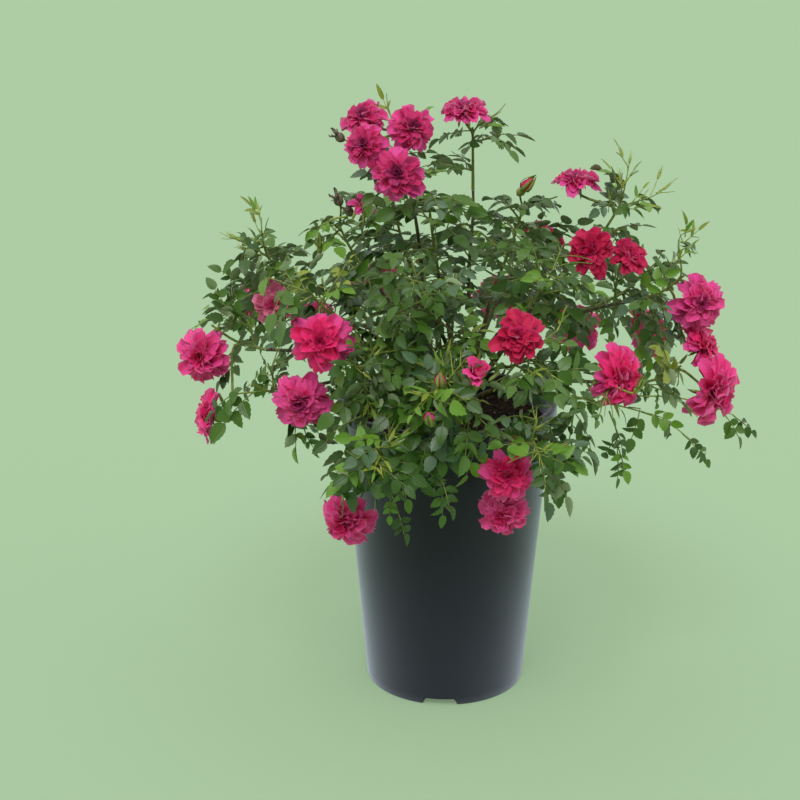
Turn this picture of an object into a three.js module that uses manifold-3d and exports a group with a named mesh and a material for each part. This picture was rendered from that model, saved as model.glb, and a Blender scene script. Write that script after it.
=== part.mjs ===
// A miniature rose bush in flower, in its round nursery pot.
// Millimetres. +X is to the right of the front view, -Y is the front, +Z is up.
// The origin is the middle of the flat pad under the pot.
import * as THREE from 'three';
import { mergeVertices } from 'three/addons/utils/BufferGeometryUtils.js';
import Module from 'manifold-3d';

const wasm = await Module();
wasm.setup();

// Driving sizes
const clearance = 0.3;
const pot = {
  height: 190,
  footRadius: 51.6,
  topRadius: 67.6,
  rimRadius: 70,
  rimHeight: 8.5,
  wall: 1.8,
  floorBottom: 5,
  floorThickness: 2,
  ringWidth: 2.4,
  padRadius: 14,
  notches: 4,
  notchWidth: 20,
  notchHeight: 4.4,
  notchTurn: 3,
  drainHoles: 4,
  drainRadius: 4.5,
  drainCircle: 33,
  sides: 32,
};
const soil = { surface: 175, crown: 2.5, lumps: 1.3, rings: 2 };
const stem = { depth: 7, height: 26, flareRadius: 9.5, topRadius: 6, lean: [2.5, -1.5], sides: 12, steps: 4 };
const cane = { baseRadius: 2.5, tipRadius: 1.5, sides: 6, steps: 4, arch: 0.24 };
const sideBough = { baseRadius: 1.8, tipRadius: 1.4, sides: 5, steps: 3, arch: 0.16 };
const leafSize = { length: 36, width: 27, keel: 1.8, droop: 3, widest: 0.46, shrink: 0.035, sink: 0.12 };
const twigSize = { stemBase: 1.7, stemTip: 1.2, rootRadius: 0.8, tipRadius: 0.65, sides: 3 };
const growth = {
  twigs: 4.3,
  leafPlaces: [0.2, 0.4, 0.6, 0.8, 1],
  stalkLeafPlaces: [0.3, 0.6],
  fewestLeaves: 3,
  tries: 16,
  leafSpacing: 2.6,
  limbRoom: 0.9,
  seed: 4211,
};
const splinter = { edge: 0.03, height: 0.002, nudge: 0.02, nudges: 24 };
const goldenAngle = THREE.MathUtils.degToRad(137.5);
const up = new THREE.Vector3(0, 0, 1);
const bushMiddle = new THREE.Vector3(0, 0, 200);

// How a bough leaves its parent, how far before its mass's centre it ends, and how sharply it bends.
const fork = { outward: 0.62, forward: 0.78, endsBefore: 0.62, firstBend: 0.3, lastBend: 0.35 };
// How a mass's stem rises through the mass, and how its twigs and leaves spread from it.
const rise = { forward: 0.6, upward: 0.7, reach: 0.6, firstBend: 0.35, lastBend: 0.3 };
const twigWay = { angle: 42, stray: 38, lowerStray: 25, lift: 0.12, length: 0.42, lengthStray: 0.32 };
const leafWay = { swing: 42, swingStray: 40, endStray: 40, inward: 0.5, drop: 0.4, lift: 0.7 };
const leafFace = { upward: 0.5, outward: 0.9, stray: 1.1, sizeLeast: 0.85, sizeStray: 0.3 };

// Foliage masses: centre and reach of each, and the limb that its bough leaves, with how far along it.
const masses = [
  { name: 'upper_mid', centre: [-10, -18, 298], reach: 38, from: 'stem', at: 1.0 },
  { name: 'upper_right', centre: [44, 14, 294], reach: 36, from: 'stem', at: 0.82 },
  { name: 'upper_left', centre: [-63, 6, 284], reach: 31, from: 'stem', at: 0.8 },
  { name: 'high_right', centre: [98, 2, 296], reach: 34, from: 'stem', at: 0.62, fullness: 0.7, sprout: 31 },
  { name: 'low_right', centre: [130, -20, 204], reach: 36, from: 'stem', at: 0.42 },
  { name: 'far_left', centre: [-136, 0, 222], reach: 34, from: 'stem', at: 0.55 },
  { name: 'front_left', centre: [-75, -58, 260], reach: 34, from: 'stem', at: 0.75 },
  { name: 'centre_right', centre: [46, -90, 238], reach: 34, from: 'stem', at: 0.72, fullness: 1.3 },
  { name: 'rim_mid', centre: [0, -100, 222], reach: 33, from: 'stem', at: 0.5, fullness: 1.3, sprout: 32 },
  { name: 'inner_mid', centre: [-4, -44, 230], reach: 34, from: 'stem', at: 0.85, fullness: 1.3 },
  { name: 'inner_back', centre: [4, 58, 236], reach: 36, from: 'stem', at: 0.85 },
  { name: 'back_left', centre: [-46, 104, 240], reach: 38, from: 'stem', at: 0.6 },
  { name: 'back_right', centre: [46, 106, 238], reach: 38, from: 'stem', at: 0.6 },
  { name: 'top_left', centre: [-30, -14, 345], reach: 33, from: 'upper_mid', at: 0.5 },
  { name: 'top_mid', centre: [14, 12, 342], reach: 32, from: 'upper_right', at: 0.5, fullness: 0.6 },
  { name: 'front_mid', centre: [-16, -64, 268], reach: 36, from: 'upper_mid', at: 0.3, fullness: 1.3 },
  { name: 'inner_left', centre: [-50, -76, 222], reach: 35, from: 'front_left', at: 0.35, fullness: 1.3 },
  { name: 'front_right', centre: [57, -44, 268], reach: 35, from: 'upper_right', at: 0.3, fullness: 1.3 },
  { name: 'high_left', centre: [-106, 14, 264], reach: 31, from: 'upper_left', at: 0.45 },
  { name: 'far_right', centre: [136, 4, 256], reach: 31, from: 'high_right', at: 0.5 },
  { name: 'near_right', centre: [88, -64, 206], reach: 34, from: 'low_right', at: 0.3, fullness: 1.3 },
  { name: 'low_left', centre: [-106, -50, 202], reach: 34, from: 'far_left', at: 0.35 },
  { name: 'rim_left', centre: [-38, -106, 184], reach: 34, from: 'rim_mid', at: 0.5, sprout: 33 },
  { name: 'rim_right', centre: [42, -104, 190], reach: 35, from: 'rim_mid', at: 0.55 },
  { name: 'back_far_left', centre: [-116, 68, 232], reach: 35, from: 'back_left', at: 0.4 },
  { name: 'back_far_right', centre: [118, 68, 238], reach: 36, from: 'back_right', at: 0.4, sprout: 34 },
  { name: 'back_top_left', centre: [-34, 56, 290], reach: 36, from: 'back_left', at: 0.25 },
  { name: 'back_top_right', centre: [50, 60, 268], reach: 35, from: 'back_right', at: 0.25 },
];

// Blooms, buds and bare shoots that show from a step away: place, the way each faces and its width.
const flowers = [
  { kind: 'bloom', at: [-52, -14, 371], turn: -110, tilt: 50, width: 27 },
  { kind: 'bloom', at: [-50, -38, 358], turn: -105, tilt: 30, width: 28 },
  { kind: 'bloom', at: [-22, -28, 367], turn: -75, tilt: 30, width: 30 },
  { kind: 'bloom', at: [-30, -48, 343], turn: -95, tilt: 8, width: 36 },
  { kind: 'bloom', at: [9, 0, 374], turn: -90, tilt: 75, width: 29 },
  { kind: 'bloom', at: [78, 10, 330], turn: -90, tilt: 80, width: 29 },
  { kind: 'bloom', at: [86, -26, 292], turn: -110, tilt: 20, width: 30 },
  { kind: 'bloom', at: [110, -16, 287], turn: -70, tilt: 45, width: 26 },
  { kind: 'bloom', at: [-111, 6, 250], turn: -100, tilt: 20, width: 27 },
  { kind: 'bloom', at: [-74, -82, 251], turn: -90, tilt: 15, width: 38 },
  { kind: 'bloom', at: [-86, -78, 212], turn: -95, tilt: 0, width: 37 },
  { kind: 'bloom', at: [-155, -12, 220], turn: -112, tilt: 5, width: 38 },
  { kind: 'bloom', at: [-149, -22, 184], turn: 178, tilt: 8, width: 34 },
  { kind: 'bloom', at: [40, -102, 260], turn: -85, tilt: 42, width: 34 },
  { kind: 'bloom', at: [103, -66, 225], turn: -48, tilt: 0, width: 40 },
  { kind: 'bloom', at: [157, -4, 255], turn: -72, tilt: 10, width: 37 },
  { kind: 'bloom', at: [161, -2, 228], turn: -20, tilt: 30, width: 32 },
  { kind: 'bloom', at: [167, -22, 203], turn: -38, tilt: -12, width: 44 },
  { kind: 'bloom', at: [-60, -86, 140], turn: -112, tilt: -12, width: 36 },
  { kind: 'bloom', at: [35, -110, 180], turn: -80, tilt: 5, width: 33 },
  { kind: 'bloom', at: [33, -98, 150], turn: -105, tilt: -30, width: 31 },
  { kind: 'bloom', at: [-134, 90, 236], turn: 150, tilt: 20, width: 34 },
  { kind: 'bloom', at: [-52, 136, 236], turn: 105, tilt: 15, width: 37 },
  { kind: 'bloom', at: [36, 138, 222], turn: 82, tilt: -5, width: 35 },
  { kind: 'bloom', at: [140, 92, 212], turn: 35, tilt: 10, width: 35 },
  { kind: 'bloom', at: [-36, 76, 322], turn: 110, tilt: 45, width: 32 },
  { kind: 'bloom', at: [64, 92, 290], turn: 65, tilt: 40, width: 33 },
  { kind: 'bloom', at: [-96, 108, 212], turn: 128, tilt: -5, width: 34 },
  { kind: 'bloom', at: [92, 122, 206], turn: 62, tilt: -5, width: 36 },
  { kind: 'bud', at: [-9, -124, 217], turn: -100, tilt: 40, width: 9 },
  { kind: 'bud', at: [-4, -119, 236], turn: -90, tilt: 70, width: 8 },
  { kind: 'bud', at: [16, -112, 236], turn: -80, tilt: 60, width: 9 },
  { kind: 'bud', at: [46, 8, 324], turn: -40, tilt: 45, width: 9 },
  { kind: 'bud', at: [-79, -10, 291], turn: -90, tilt: 75, width: 8 },
  { kind: 'bud', at: [-68, -12, 322], turn: -140, tilt: 60, width: 9 },
  { kind: 'bud', at: [-53, -16, 318], turn: -70, tilt: 60, width: 10 },
  { kind: 'bud', at: [10, 96, 272], turn: 90, tilt: 60, width: 9 },
  { kind: 'shoot', at: [-38, 0, 383], turn: 0, tilt: 90, width: 0 },
  { kind: 'shoot', at: [34, 10, 376], turn: 0, tilt: 60, width: 0 },
  { kind: 'shoot', at: [110, 4, 342], turn: 60, tilt: 70, width: 0 },
  { kind: 'shoot', at: [132, 2, 326], turn: 0, tilt: 45, width: 0 },
  { kind: 'shoot', at: [146, -2, 300], turn: 0, tilt: 20, width: 0 },
  { kind: 'shoot', at: [-118, 10, 308], turn: 120, tilt: 60, width: 0 },
  { kind: 'shoot', at: [-134, 10, 292], turn: 170, tilt: 30, width: 0 },
];

const rosebush = new THREE.Group();

function addPart(name, geometry, color, roughness) {
  const material = new THREE.MeshStandardMaterial({ color, roughness, metalness: 0 });
  const part = new THREE.Mesh(geometry, material);
  part.name = name;
  rosebush.add(part);
}

// Solids and meshes

function solidFrom(geometry) {
  const bare = geometry.clone();
  bare.deleteAttribute('normal');
  bare.deleteAttribute('uv');
  const welded = mergeVertices(bare, 1e-4);
  const vertProperties = new Float32Array(welded.attributes.position.array);
  const triVerts = new Uint32Array(welded.index.array);
  return new wasm.Manifold(new wasm.Mesh({ numProp: 3, vertProperties, triVerts }));
}

// The outer shell of a solid: sealed hollows are filled and loose scraps are dropped.
// Its broadest faces come first.
function outerShell(solid) {
  const mesh = solid.getMesh();
  const count = mesh.vertProperties.length / 3;
  const group = Array.from({ length: count }, (_, i) => i);
  const rootOf = (i) => {
    let root = i;
    while (group[root] !== root) {
      group[root] = group[group[root]];
      root = group[root];
    }
    return root;
  };
  for (let i = 0; i < mesh.triVerts.length; i += 3) {
    const first = rootOf(mesh.triVerts[i]);
    group[rootOf(mesh.triVerts[i + 1])] = first;
    group[rootOf(mesh.triVerts[i + 2])] = rootOf(first);
  }
  const corner = (i) => new THREE.Vector3().fromArray(mesh.vertProperties, mesh.triVerts[i] * 3);
  const volumes = new Map();
  for (let i = 0; i < mesh.triVerts.length; i += 3) {
    const key = rootOf(mesh.triVerts[i]);
    const wedge = corner(i).dot(corner(i + 1).cross(corner(i + 2))) / 6;
    volumes.set(key, (volumes.get(key) ?? 0) + wedge);
  }
  const largest = [...volumes].sort((a, b) => b[1] - a[1])[0][0];
  const faces = [];
  for (let i = 0; i < mesh.triVerts.length; i += 3) {
    if (rootOf(mesh.triVerts[i]) === largest) {
      const area = new THREE.Triangle(corner(i), corner(i + 1), corner(i + 2)).getArea();
      faces.push({ area, corners: [mesh.triVerts[i], mesh.triVerts[i + 1], mesh.triVerts[i + 2]] });
    }
  }
  const index = faces.sort((one, other) => other.area - one.area).flatMap((face) => face.corners);
  const geometry = new THREE.BufferGeometry();
  geometry.setAttribute('position', new THREE.BufferAttribute(mesh.vertProperties, 3));
  geometry.setIndex(index);
  const shell = geometry.toNonIndexed();
  shell.computeVertexNormals();
  return shell;
}

// How clean a solid's mesh is: above 1 where no edge is too short and no triangle is too flat.
function cleannessOf(solid) {
  const mesh = solid.getMesh();
  const corner = (i) => new THREE.Vector3().fromArray(mesh.vertProperties, mesh.triVerts[i] * 3);
  let cleanness = Infinity;
  for (let i = 0; i < mesh.triVerts.length; i += 3) {
    const face = new THREE.Triangle(corner(i), corner(i + 1), corner(i + 2));
    const edges = [face.a.distanceTo(face.b), face.b.distanceTo(face.c), face.c.distanceTo(face.a)];
    const height = (2 * face.getArea()) / Math.max(...edges);
    cleanness = Math.min(cleanness, Math.min(...edges) / splinter.edge, height / splinter.height);
  }
  return cleanness;
}

// Joins pieces one after another. A piece whose join would leave splinters is nudged until it leaves none.
function joinedCleanly(pieces) {
  return pieces.slice(1).reduce((body, piece) => {
    let best = { cleanness: -1 };
    for (let i = 0; i < splinter.nudges && best.cleanness < 1; i++) {
      const nudge = sideways(up, i * goldenAngle).multiplyScalar(i * splinter.nudge);
      const solid = body.add(solidFrom(piece.clone().translate(nudge.x, nudge.y, -nudge.length() / 2)));
      const cleanness = cleannessOf(solid);
      best = cleanness > best.cleanness ? { solid, cleanness } : best;
    }
    return best.solid;
  }, solidFrom(pieces[0]));
}

function moveVertices(geometry, place) {
  const positions = geometry.attributes.position;
  const vertex = new THREE.Vector3();
  for (let i = 0; i < positions.count; i++) {
    vertex.fromBufferAttribute(positions, i);
    const moved = place(vertex);
    positions.setXYZ(i, moved.x, moved.y, moved.z);
  }
  return geometry;
}

function turned(profile, sides) {
  const points = profile.map(([radius, height]) => new THREE.Vector2(radius, height));
  return new THREE.LatheGeometry(points, sides).rotateX(Math.PI / 2);
}

// A line bent at even steps, on which limbs, twigs and stalks are built.
class BentLine extends THREE.Curve {
  constructor(points) {
    super();
    this.points = points;
  }

  getPoint(along) {
    const spans = this.points.length - 1;
    const place = THREE.MathUtils.clamp(along, 0, 1) * spans;
    const span = Math.min(Math.floor(place), spans - 1);
    return this.points[span].clone().lerp(this.points[span + 1], place - span);
  }

  get lines() {
    return this.points.slice(1).map((point, i) => [this.points[i], point]);
  }
}

const bentLine = (corners, steps) => new BentLine(new THREE.CubicBezierCurve3(...corners).getPoints(steps));

// A tapering limb: a cylinder bent along a line, its radius a function of how far along it is.
// Its first edge starts undermost, so that leaves leave a three-sided twig through a flat side.
function taperedLimb(curve, radiusAt, sides) {
  const steps = curve.points.length - 1;
  const isPointed = radiusAt(1) === 0;
  const frames = [];
  for (let i = 0; i <= steps; i++) {
    const tangent = curve.getTangent(i / steps);
    const across = i ? frames[i - 1].across.clone() : sideways(tangent, 0);
    across.addScaledVector(tangent, -across.dot(tangent)).normalize();
    frames.push({ across, over: new THREE.Vector3().crossVectors(across, tangent) });
  }
  return moveVertices(new THREE.CylinderGeometry(isPointed ? 0 : 1, 1, 1, sides, steps), (vertex) => {
    const step = Math.round((vertex.y + 0.5) * steps);
    const along = step / steps;
    const radius = radiusAt(along) * (isPointed && along < 1 ? 1 / (1 - along) : 1);
    return curve.getPoint(along)
      .addScaledVector(frames[step].across, -vertex.x * radius)
      .addScaledVector(frames[step].over, -vertex.z * radius);
  });
}

const straightTaper = (base, tip) => (along) => THREE.MathUtils.lerp(base, tip, along);

// The pot and what fills it

const outerRadiusAt = (z) => THREE.MathUtils.lerp(pot.footRadius, pot.topRadius, z / pot.height);
const innerRadiusAt = (z) => outerRadiusAt(z) - pot.wall;

function makePot() {
  const floorTop = pot.floorBottom + pot.floorThickness;
  const underRim = pot.height - pot.rimHeight;
  const recess = pot.footRadius - pot.ringWidth;
  const shell = turned([
    [0, 0],
    [pot.padRadius, 0],
    [pot.padRadius, pot.floorBottom],
    [recess, pot.floorBottom],
    [recess, 0],
    [pot.footRadius, 0],
    [outerRadiusAt(underRim), underRim],
    [pot.rimRadius, underRim + 1.4],
    [pot.rimRadius, pot.height - 1.2],
    [pot.rimRadius - 1.2, pot.height],
    [innerRadiusAt(pot.height), pot.height],
    [innerRadiusAt(floorTop), floorTop],
    [0, floorTop],
  ], pot.sides);
  let body = solidFrom(shell);
  for (let i = 0; i < pot.notches; i++) {
    body = body.subtract(solidFrom(notchCutter(i)));
  }
  for (let i = 0; i < pot.drainHoles; i++) {
    body = body.subtract(solidFrom(drainCutter(i)));
  }
  return outerShell(body);
}

// A drainage notch in the foot: a slot with slanting sides.
function notchCutter(i) {
  const half = pot.notchWidth / 2;
  const slot = new THREE.Shape();
  slot.moveTo(-half - 2, -1);
  slot.lineTo(half + 2, -1);
  slot.lineTo(half - 1, pot.notchHeight);
  slot.lineTo(1 - half, pot.notchHeight);
  slot.closePath();
  const cutter = new THREE.ExtrudeGeometry(slot, { depth: 9, bevelEnabled: false });
  cutter.rotateX(Math.PI / 2);
  cutter.translate(0, -pot.footRadius + 7, 0);
  return cutter.rotateZ(THREE.MathUtils.degToRad(-pot.notchTurn + (i * 360) / pot.notches));
}

function drainCutter(i) {
  const cutter = new THREE.CylinderGeometry(pot.drainRadius, pot.drainRadius, 6, 8).rotateX(Math.PI / 2);
  cutter.translate(pot.drainCircle, 0, pot.floorBottom + 1);
  return cutter.rotateZ(THREE.MathUtils.degToRad(45 + (i * 360) / pot.drainHoles));
}

const lumpAt = (x, y) => soil.lumps * Math.sin(x / 9 + 1) * Math.cos(y / 8 - 0.5);

function makeSoil() {
  const bottom = pot.floorBottom + pot.floorThickness + clearance;
  const gap = clearance * 1.2;
  const profile = [
    [0, bottom],
    [innerRadiusAt(bottom) - gap, bottom],
    [innerRadiusAt(soil.surface) - gap, soil.surface],
  ];
  for (let ring = 1; ring <= soil.rings; ring++) {
    const inward = ring / soil.rings;
    const radius = innerRadiusAt(soil.surface) * (1 - inward);
    profile.push([radius, soil.surface + soil.crown * inward]);
  }
  const fill = moveVertices(turned(profile, pot.sides), (vertex) => {
    const isInner = Math.hypot(vertex.x, vertex.y) < innerRadiusAt(soil.surface) - 3;
    const isSurface = vertex.z > soil.surface - 1 && isInner;
    vertex.z += isSurface ? lumpAt(vertex.x, vertex.y) : 0;
    return vertex;
  });
  const socket = taperedLimb(stemCurve(), (along) => stemRadiusAt(along) + clearance, stem.sides);
  return outerShell(solidFrom(fill).subtract(solidFrom(socket.translate(0, 0, -clearance))));
}

// Stem and boughs

function stemCurve() {
  const foot = new THREE.Vector3(0, 0, soil.surface + soil.crown - stem.depth);
  const top = new THREE.Vector3(stem.lean[0], stem.lean[1], soil.surface + soil.crown + stem.height);
  const middle = foot.clone().lerp(top, 0.5).add(new THREE.Vector3(-0.6, 0.4, 0));
  return bentLine([foot, middle, middle, top], stem.steps);
}

const stemRadiusAt = (along) => stem.topRadius + (stem.flareRadius - stem.topRadius) * (1 - along) ** 2;

const limbs = new Map();
limbs.set('stem', { curve: stemCurve(), radiusAt: stemRadiusAt });

// A bough leaves its parent's side upward and outward, then arches over to the mass that it carries.
function growBough(mass) {
  const parent = limbs.get(mass.from);
  const sizes = mass.from === 'stem' ? cane : sideBough;
  const centre = new THREE.Vector3(...mass.centre);
  const joint = parent.curve.getPoint(mass.at);
  const parentWay = parent.curve.getTangent(mass.at);
  const chord = centre.clone().sub(joint);
  const outward = chord.clone().addScaledVector(parentWay, -chord.dot(parentWay)).normalize();
  const isTop = mass.at === 1;
  const leaving = parentWay.clone().multiplyScalar(fork.forward);
  leaving.addScaledVector(outward, isTop ? 0 : fork.outward).normalize();
  const sideRoom = parent.radiusAt(mass.at) + sizes.baseRadius * leaving.dot(parentWay);
  const start = joint.clone().addScaledVector(isTop ? leaving : outward, clearance + (isTop ? 0 : sideRoom));
  const span = centre.distanceTo(start);
  const arriving = centre.clone().sub(start).addScaledVector(up, -sizes.arch * span).normalize();
  const end = centre.clone().addScaledVector(arriving, -fork.endsBefore * mass.reach);
  const reach = end.distanceTo(start);
  const bend = start.clone().addScaledVector(leaving, fork.firstBend * reach);
  const lastBend = end.clone().addScaledVector(arriving, -fork.lastBend * reach);
  const curve = bentLine([start, bend, lastBend, end], sizes.steps);
  const radiusAt = straightTaper(sizes.baseRadius, sizes.tipRadius);
  limbs.set(mass.name, { curve, radiusAt });
  return taperedLimb(curve, radiusAt, sizes.sides);
}

const limbPoints = [];

function noteLimbPoints() {
  for (const { curve, radiusAt } of limbs.values()) {
    const steps = Math.ceil(curve.getLength() / 2);
    for (let i = 0; i <= steps; i++) {
      limbPoints.push({ point: curve.getPoint(i / steps), radius: radiusAt(i / steps) });
    }
  }
}

// Foliage

function randomFrom(seed) {
  let state = seed;
  const next = () => {
    state = (state * 48271) % 2147483647;
    return state / 2147483647;
  };
  next();
  next();
  return next;
}

// Every mass keeps to its own side of the plane between it and each other mass.
function inOwnSpace(mass, point, room) {
  const centre = new THREE.Vector3(...mass.centre);
  return masses.every((other) => {
    if (other === mass) {
      return true;
    }
    const away = new THREE.Vector3(...other.centre).sub(centre);
    const distance = away.length();
    const border = (distance ** 2 + mass.reach ** 2 - other.reach ** 2) / (2 * distance);
    return point.clone().sub(centre).dot(away) / distance < border - room;
  });
}

function ownerOf(point) {
  const power = (mass) => point.distanceToSquared(new THREE.Vector3(...mass.centre)) - mass.reach ** 2;
  return masses.reduce((best, mass) => (power(mass) < power(best) ? mass : best));
}

const clearOfLimbs = (point, room) =>
  limbPoints.every((limb) => limb.point.distanceTo(point) > limb.radius + room);

// Over the pot, the plant stays above the soil and inside the wall, above the rim, or outside it.
function clearOfPot(point, room) {
  const radius = Math.hypot(point.x, point.y);
  const aboveRim = point.z > pot.height + room;
  const insideWall = radius < innerRadiusAt(point.z) - room && point.z > soil.surface + soil.crown + room + 1;
  const outsideWall = radius > pot.rimRadius + room;
  return aboveRim || insideWall || outsideWall;
}

function isFree(mass, point, space) {
  const centre = new THREE.Vector3(...mass.centre);
  return point.distanceTo(centre) < mass.reach * space.stretch
    && inOwnSpace(mass, point, space.edge)
    && clearOfPot(point, space.pot)
    && clearOfLimbs(point, space.limb);
}

const leafSpace = { stretch: 1.42, edge: 0.6, pot: 2, limb: growth.limbRoom };
const twigSpace = { stretch: 1.0, edge: 1.6, pot: 2, limb: 2.2 };

function sideways(heading, angle) {
  const helper = Math.abs(heading.z) < 0.9 ? up : new THREE.Vector3(1, 0, 0);
  const across = new THREE.Vector3().crossVectors(heading, helper).normalize();
  const over = new THREE.Vector3().crossVectors(heading, across).normalize();
  return across.multiplyScalar(Math.cos(angle)).addScaledVector(over, Math.sin(angle));
}

function massStem(mass) {
  const bough = limbs.get(mass.name).curve;
  const heading = bough.getTangent(1);
  const start = bough.getPoint(1).addScaledVector(heading, clearance);
  const rising = heading.clone().multiplyScalar(rise.forward).addScaledVector(up, rise.upward).normalize();
  const end = new THREE.Vector3(...mass.centre).addScaledVector(rising, rise.reach * mass.reach);
  const span = end.distanceTo(start);
  const bend = start.clone().addScaledVector(heading, rise.firstBend * span);
  return bentLine([start, bend, end.clone().addScaledVector(rising, -rise.lastBend * span), end], 2);
}

const twigLine = (root, aim, length) => new BentLine([root, root.clone().addScaledVector(aim, length)]);

function samplesOf(curve, count) {
  return Array.from({ length: count }, (_, i) => curve.getPoint((i + 1) / count));
}

// A leaf lies in a frame of its own: from its root towards its tip, across, and off its face.
function leafFrame(root, aim, facing, length) {
  const across = new THREE.Vector3().crossVectors(facing, aim).normalize();
  const off = new THREE.Vector3().crossVectors(aim, across).normalize();
  const scale = length / leafSize.length;
  const at = (along, side, lift) => root.clone()
    .addScaledVector(aim, along * length)
    .addScaledVector(across, side * leafSize.width * scale)
    .addScaledVector(off, lift * scale);
  return { length, at };
}

// The flat faces of a blade, above and below, and the lines round it and along its middle.
function bladeOf(frame) {
  const neck = frame.at(0.12, 0, 0);
  const left = frame.at(leafSize.widest, 0.5, leafSize.keel);
  const right = frame.at(leafSize.widest, -0.5, leafSize.keel);
  const keel = frame.at(leafSize.widest, 0, 0);
  const tip = frame.at(1, 0, -leafSize.droop);
  const lines = [[neck, left], [left, tip], [tip, right], [right, neck], [neck, tip], [left, right]];
  const corners = [[neck, left, right], [left, tip, right], [neck, left, keel], [keel, left, tip],
    [neck, keel, right], [keel, tip, right]];
  return { faces: corners.map((face) => new THREE.Triangle(...face)), middle: keel, lines };
}

function bladeClearOfLimbs(blade) {
  const nearest = new THREE.Vector3();
  const isApart = (face, point, room) => face.closestPointToPoint(point, nearest).distanceTo(point) > room;
  return limbPoints.every(({ point, radius }) => point.distanceTo(blade.middle) > leafSize.length
    || blade.faces.every((face) => isApart(face, point, radius + growth.limbRoom)));
}

function linePierces([from, to], { a, b, c }) {
  const way = to.clone().sub(from);
  const ray = new THREE.Ray(from, way.clone().normalize());
  const hit = ray.intersectTriangle(a, b, c, false, new THREE.Vector3());
  return hit !== null && hit.distanceTo(from) < way.length();
}

const linesPierce = (lines, blade) =>
  lines.some((line) => blade.faces.slice(0, 2).some((face) => linePierces(line, face)));
const bladesCross = (one, other) => linesPierce(one.lines, other) || linesPierce(other.lines, one);

function leafSamples(frame) {
  return [
    frame.at(0.35, 0, 0),
    frame.at(0.6, 0, 0),
    frame.at(0.82, 0, -leafSize.droop / 2),
    frame.at(1, 0, -leafSize.droop),
    frame.at(leafSize.widest, 0.5, leafSize.keel),
    frame.at(leafSize.widest, -0.5, leafSize.keel),
    frame.at(0.72, 0.25, 0),
    frame.at(0.72, -0.25, 0),
  ];
}

// A leaf's corners are its root, left side, tip, right side and keel; the keel gives it its thickness.
const leafCorners = [-1, 0, 0, 0, 1, 0, 1, 0, 0, 0, -1, 0, 0, 0, -1];
const leafFaces = [0, 3, 1, 1, 3, 2, 0, 1, 4, 1, 2, 4, 2, 3, 4, 3, 0, 4];

// A point on the rim of a leaf or on its middle: only the tip droops, and only the sides are raised.
function leafCorner(frame, along, side) {
  return frame.at(along, side / 2, along === 1 ? -leafSize.droop : Math.abs(side) * leafSize.keel);
}

function makeLeaf(frame) {
  return moveVertices(new THREE.PolyhedronGeometry(leafCorners, leafFaces, 1, 0), (vertex) => {
    const isRoot = vertex.x < -0.5;
    const along = isRoot ? -leafSize.sink / frame.length : leafSize.widest;
    return leafCorner(frame, vertex.x > 0.5 ? 1 : along, vertex.y);
  });
}

// A twig that ends in a leaf: its three edges run on as the two edges and the keel of the blade.
function makeTwig(curve, endLeaf) {
  const heading = curve.getTangent(0);
  const across = sideways(heading, 0);
  const over = new THREE.Vector3().crossVectors(across, heading);
  return moveVertices(new THREE.CylinderGeometry(0, 1, 3, twigSize.sides, 3), (vertex) => {
    const row = Math.round(vertex.y + 1.5);
    const side = Math.sign(Math.round(vertex.x * 4));
    if (row > 1) {
      return leafCorner(endLeaf, row === 3 ? 1 : leafSize.widest, row === 3 ? 0 : -side);
    }
    // The cone that the twig is made from is only two thirds as wide at its second ring as at its first.
    const radius = row ? twigSize.tipRadius * 1.5 : twigSize.rootRadius;
    return curve.getPoint(row)
      .addScaledVector(across, -vertex.x * radius)
      .addScaledVector(over, -vertex.z * radius);
  });
}

// One leaf at a place on a twig; it swings out to the left or right, and its face looks up and outward.
function leafOnTwig(curve, along, swing, size, random) {
  const root = curve.getPoint(along);
  const heading = curve.getTangent(along);
  const flat = new THREE.Vector3().crossVectors(heading, up).normalize();
  const aim = heading.clone().multiplyScalar(Math.cos(swing)).addScaledVector(flat, Math.sin(swing));
  const outward = root.clone().sub(bushMiddle).normalize();
  aim.addScaledVector(outward, -leafWay.inward * aim.dot(outward));
  aim.addScaledVector(up, leafWay.lift * random() - leafWay.drop).normalize();
  const stray = new THREE.Vector3(random() - 0.5, random() - 0.5, random() - 0.5);
  const facing = up.clone().multiplyScalar(leafFace.upward);
  facing.addScaledVector(outward, leafFace.outward).addScaledVector(stray, leafFace.stray);
  const length = leafSize.length * size * (leafFace.sizeLeast + leafFace.sizeStray * random());
  return leafFrame(root, aim, facing, length);
}

function leavesOnTwig(mass, curve, places, random, taken, fewest) {
  const leaves = [];
  const points = [];
  const blades = [];
  const isOutside = (point, ball) => ball.at.distanceTo(point) > ball.room;
  const isSpaced = (point) => [...taken.points, ...points].every((ball) => isOutside(point, ball));
  const keepsApart = (samples, blade) => samples.every(isSpaced)
    && !taken.twigs.some((twig) => twig !== curve && linesPierce(twig.lines, blade))
    && ![...taken.blades, ...blades].some((other) => bladesCross(blade, other));
  for (const [i, along] of places.entries()) {
    const isLast = along === 1;
    for (let attempt = 0; attempt < growth.tries; attempt++) {
      const draw = random();
      const swing = isLast ? leafWay.endStray * (draw - 0.5) : leafWay.swing + leafWay.swingStray * draw;
      const size = 1 - leafSize.shrink * attempt;
      const turn = THREE.MathUtils.degToRad(swing) * (i % 2 ? -1 : 1);
      const frame = leafOnTwig(curve, along, turn, size, random);
      const samples = leafSamples(frame);
      const blade = bladeOf(frame);
      const isInPlace = samples.every((point) => isFree(mass, point, leafSpace)) && bladeClearOfLimbs(blade);
      if (isInPlace && keepsApart(samples, blade)) {
        leaves.push({ frame, isLast });
        blades.push(blade);
        samples.forEach((point) => points.push({ at: point, room: growth.leafSpacing }));
        break;
      }
    }
  }
  if (leaves.length < fewest) {
    return [];
  }
  taken.points.push(...points);
  taken.blades.push(...blades);
  return leaves;
}

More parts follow.
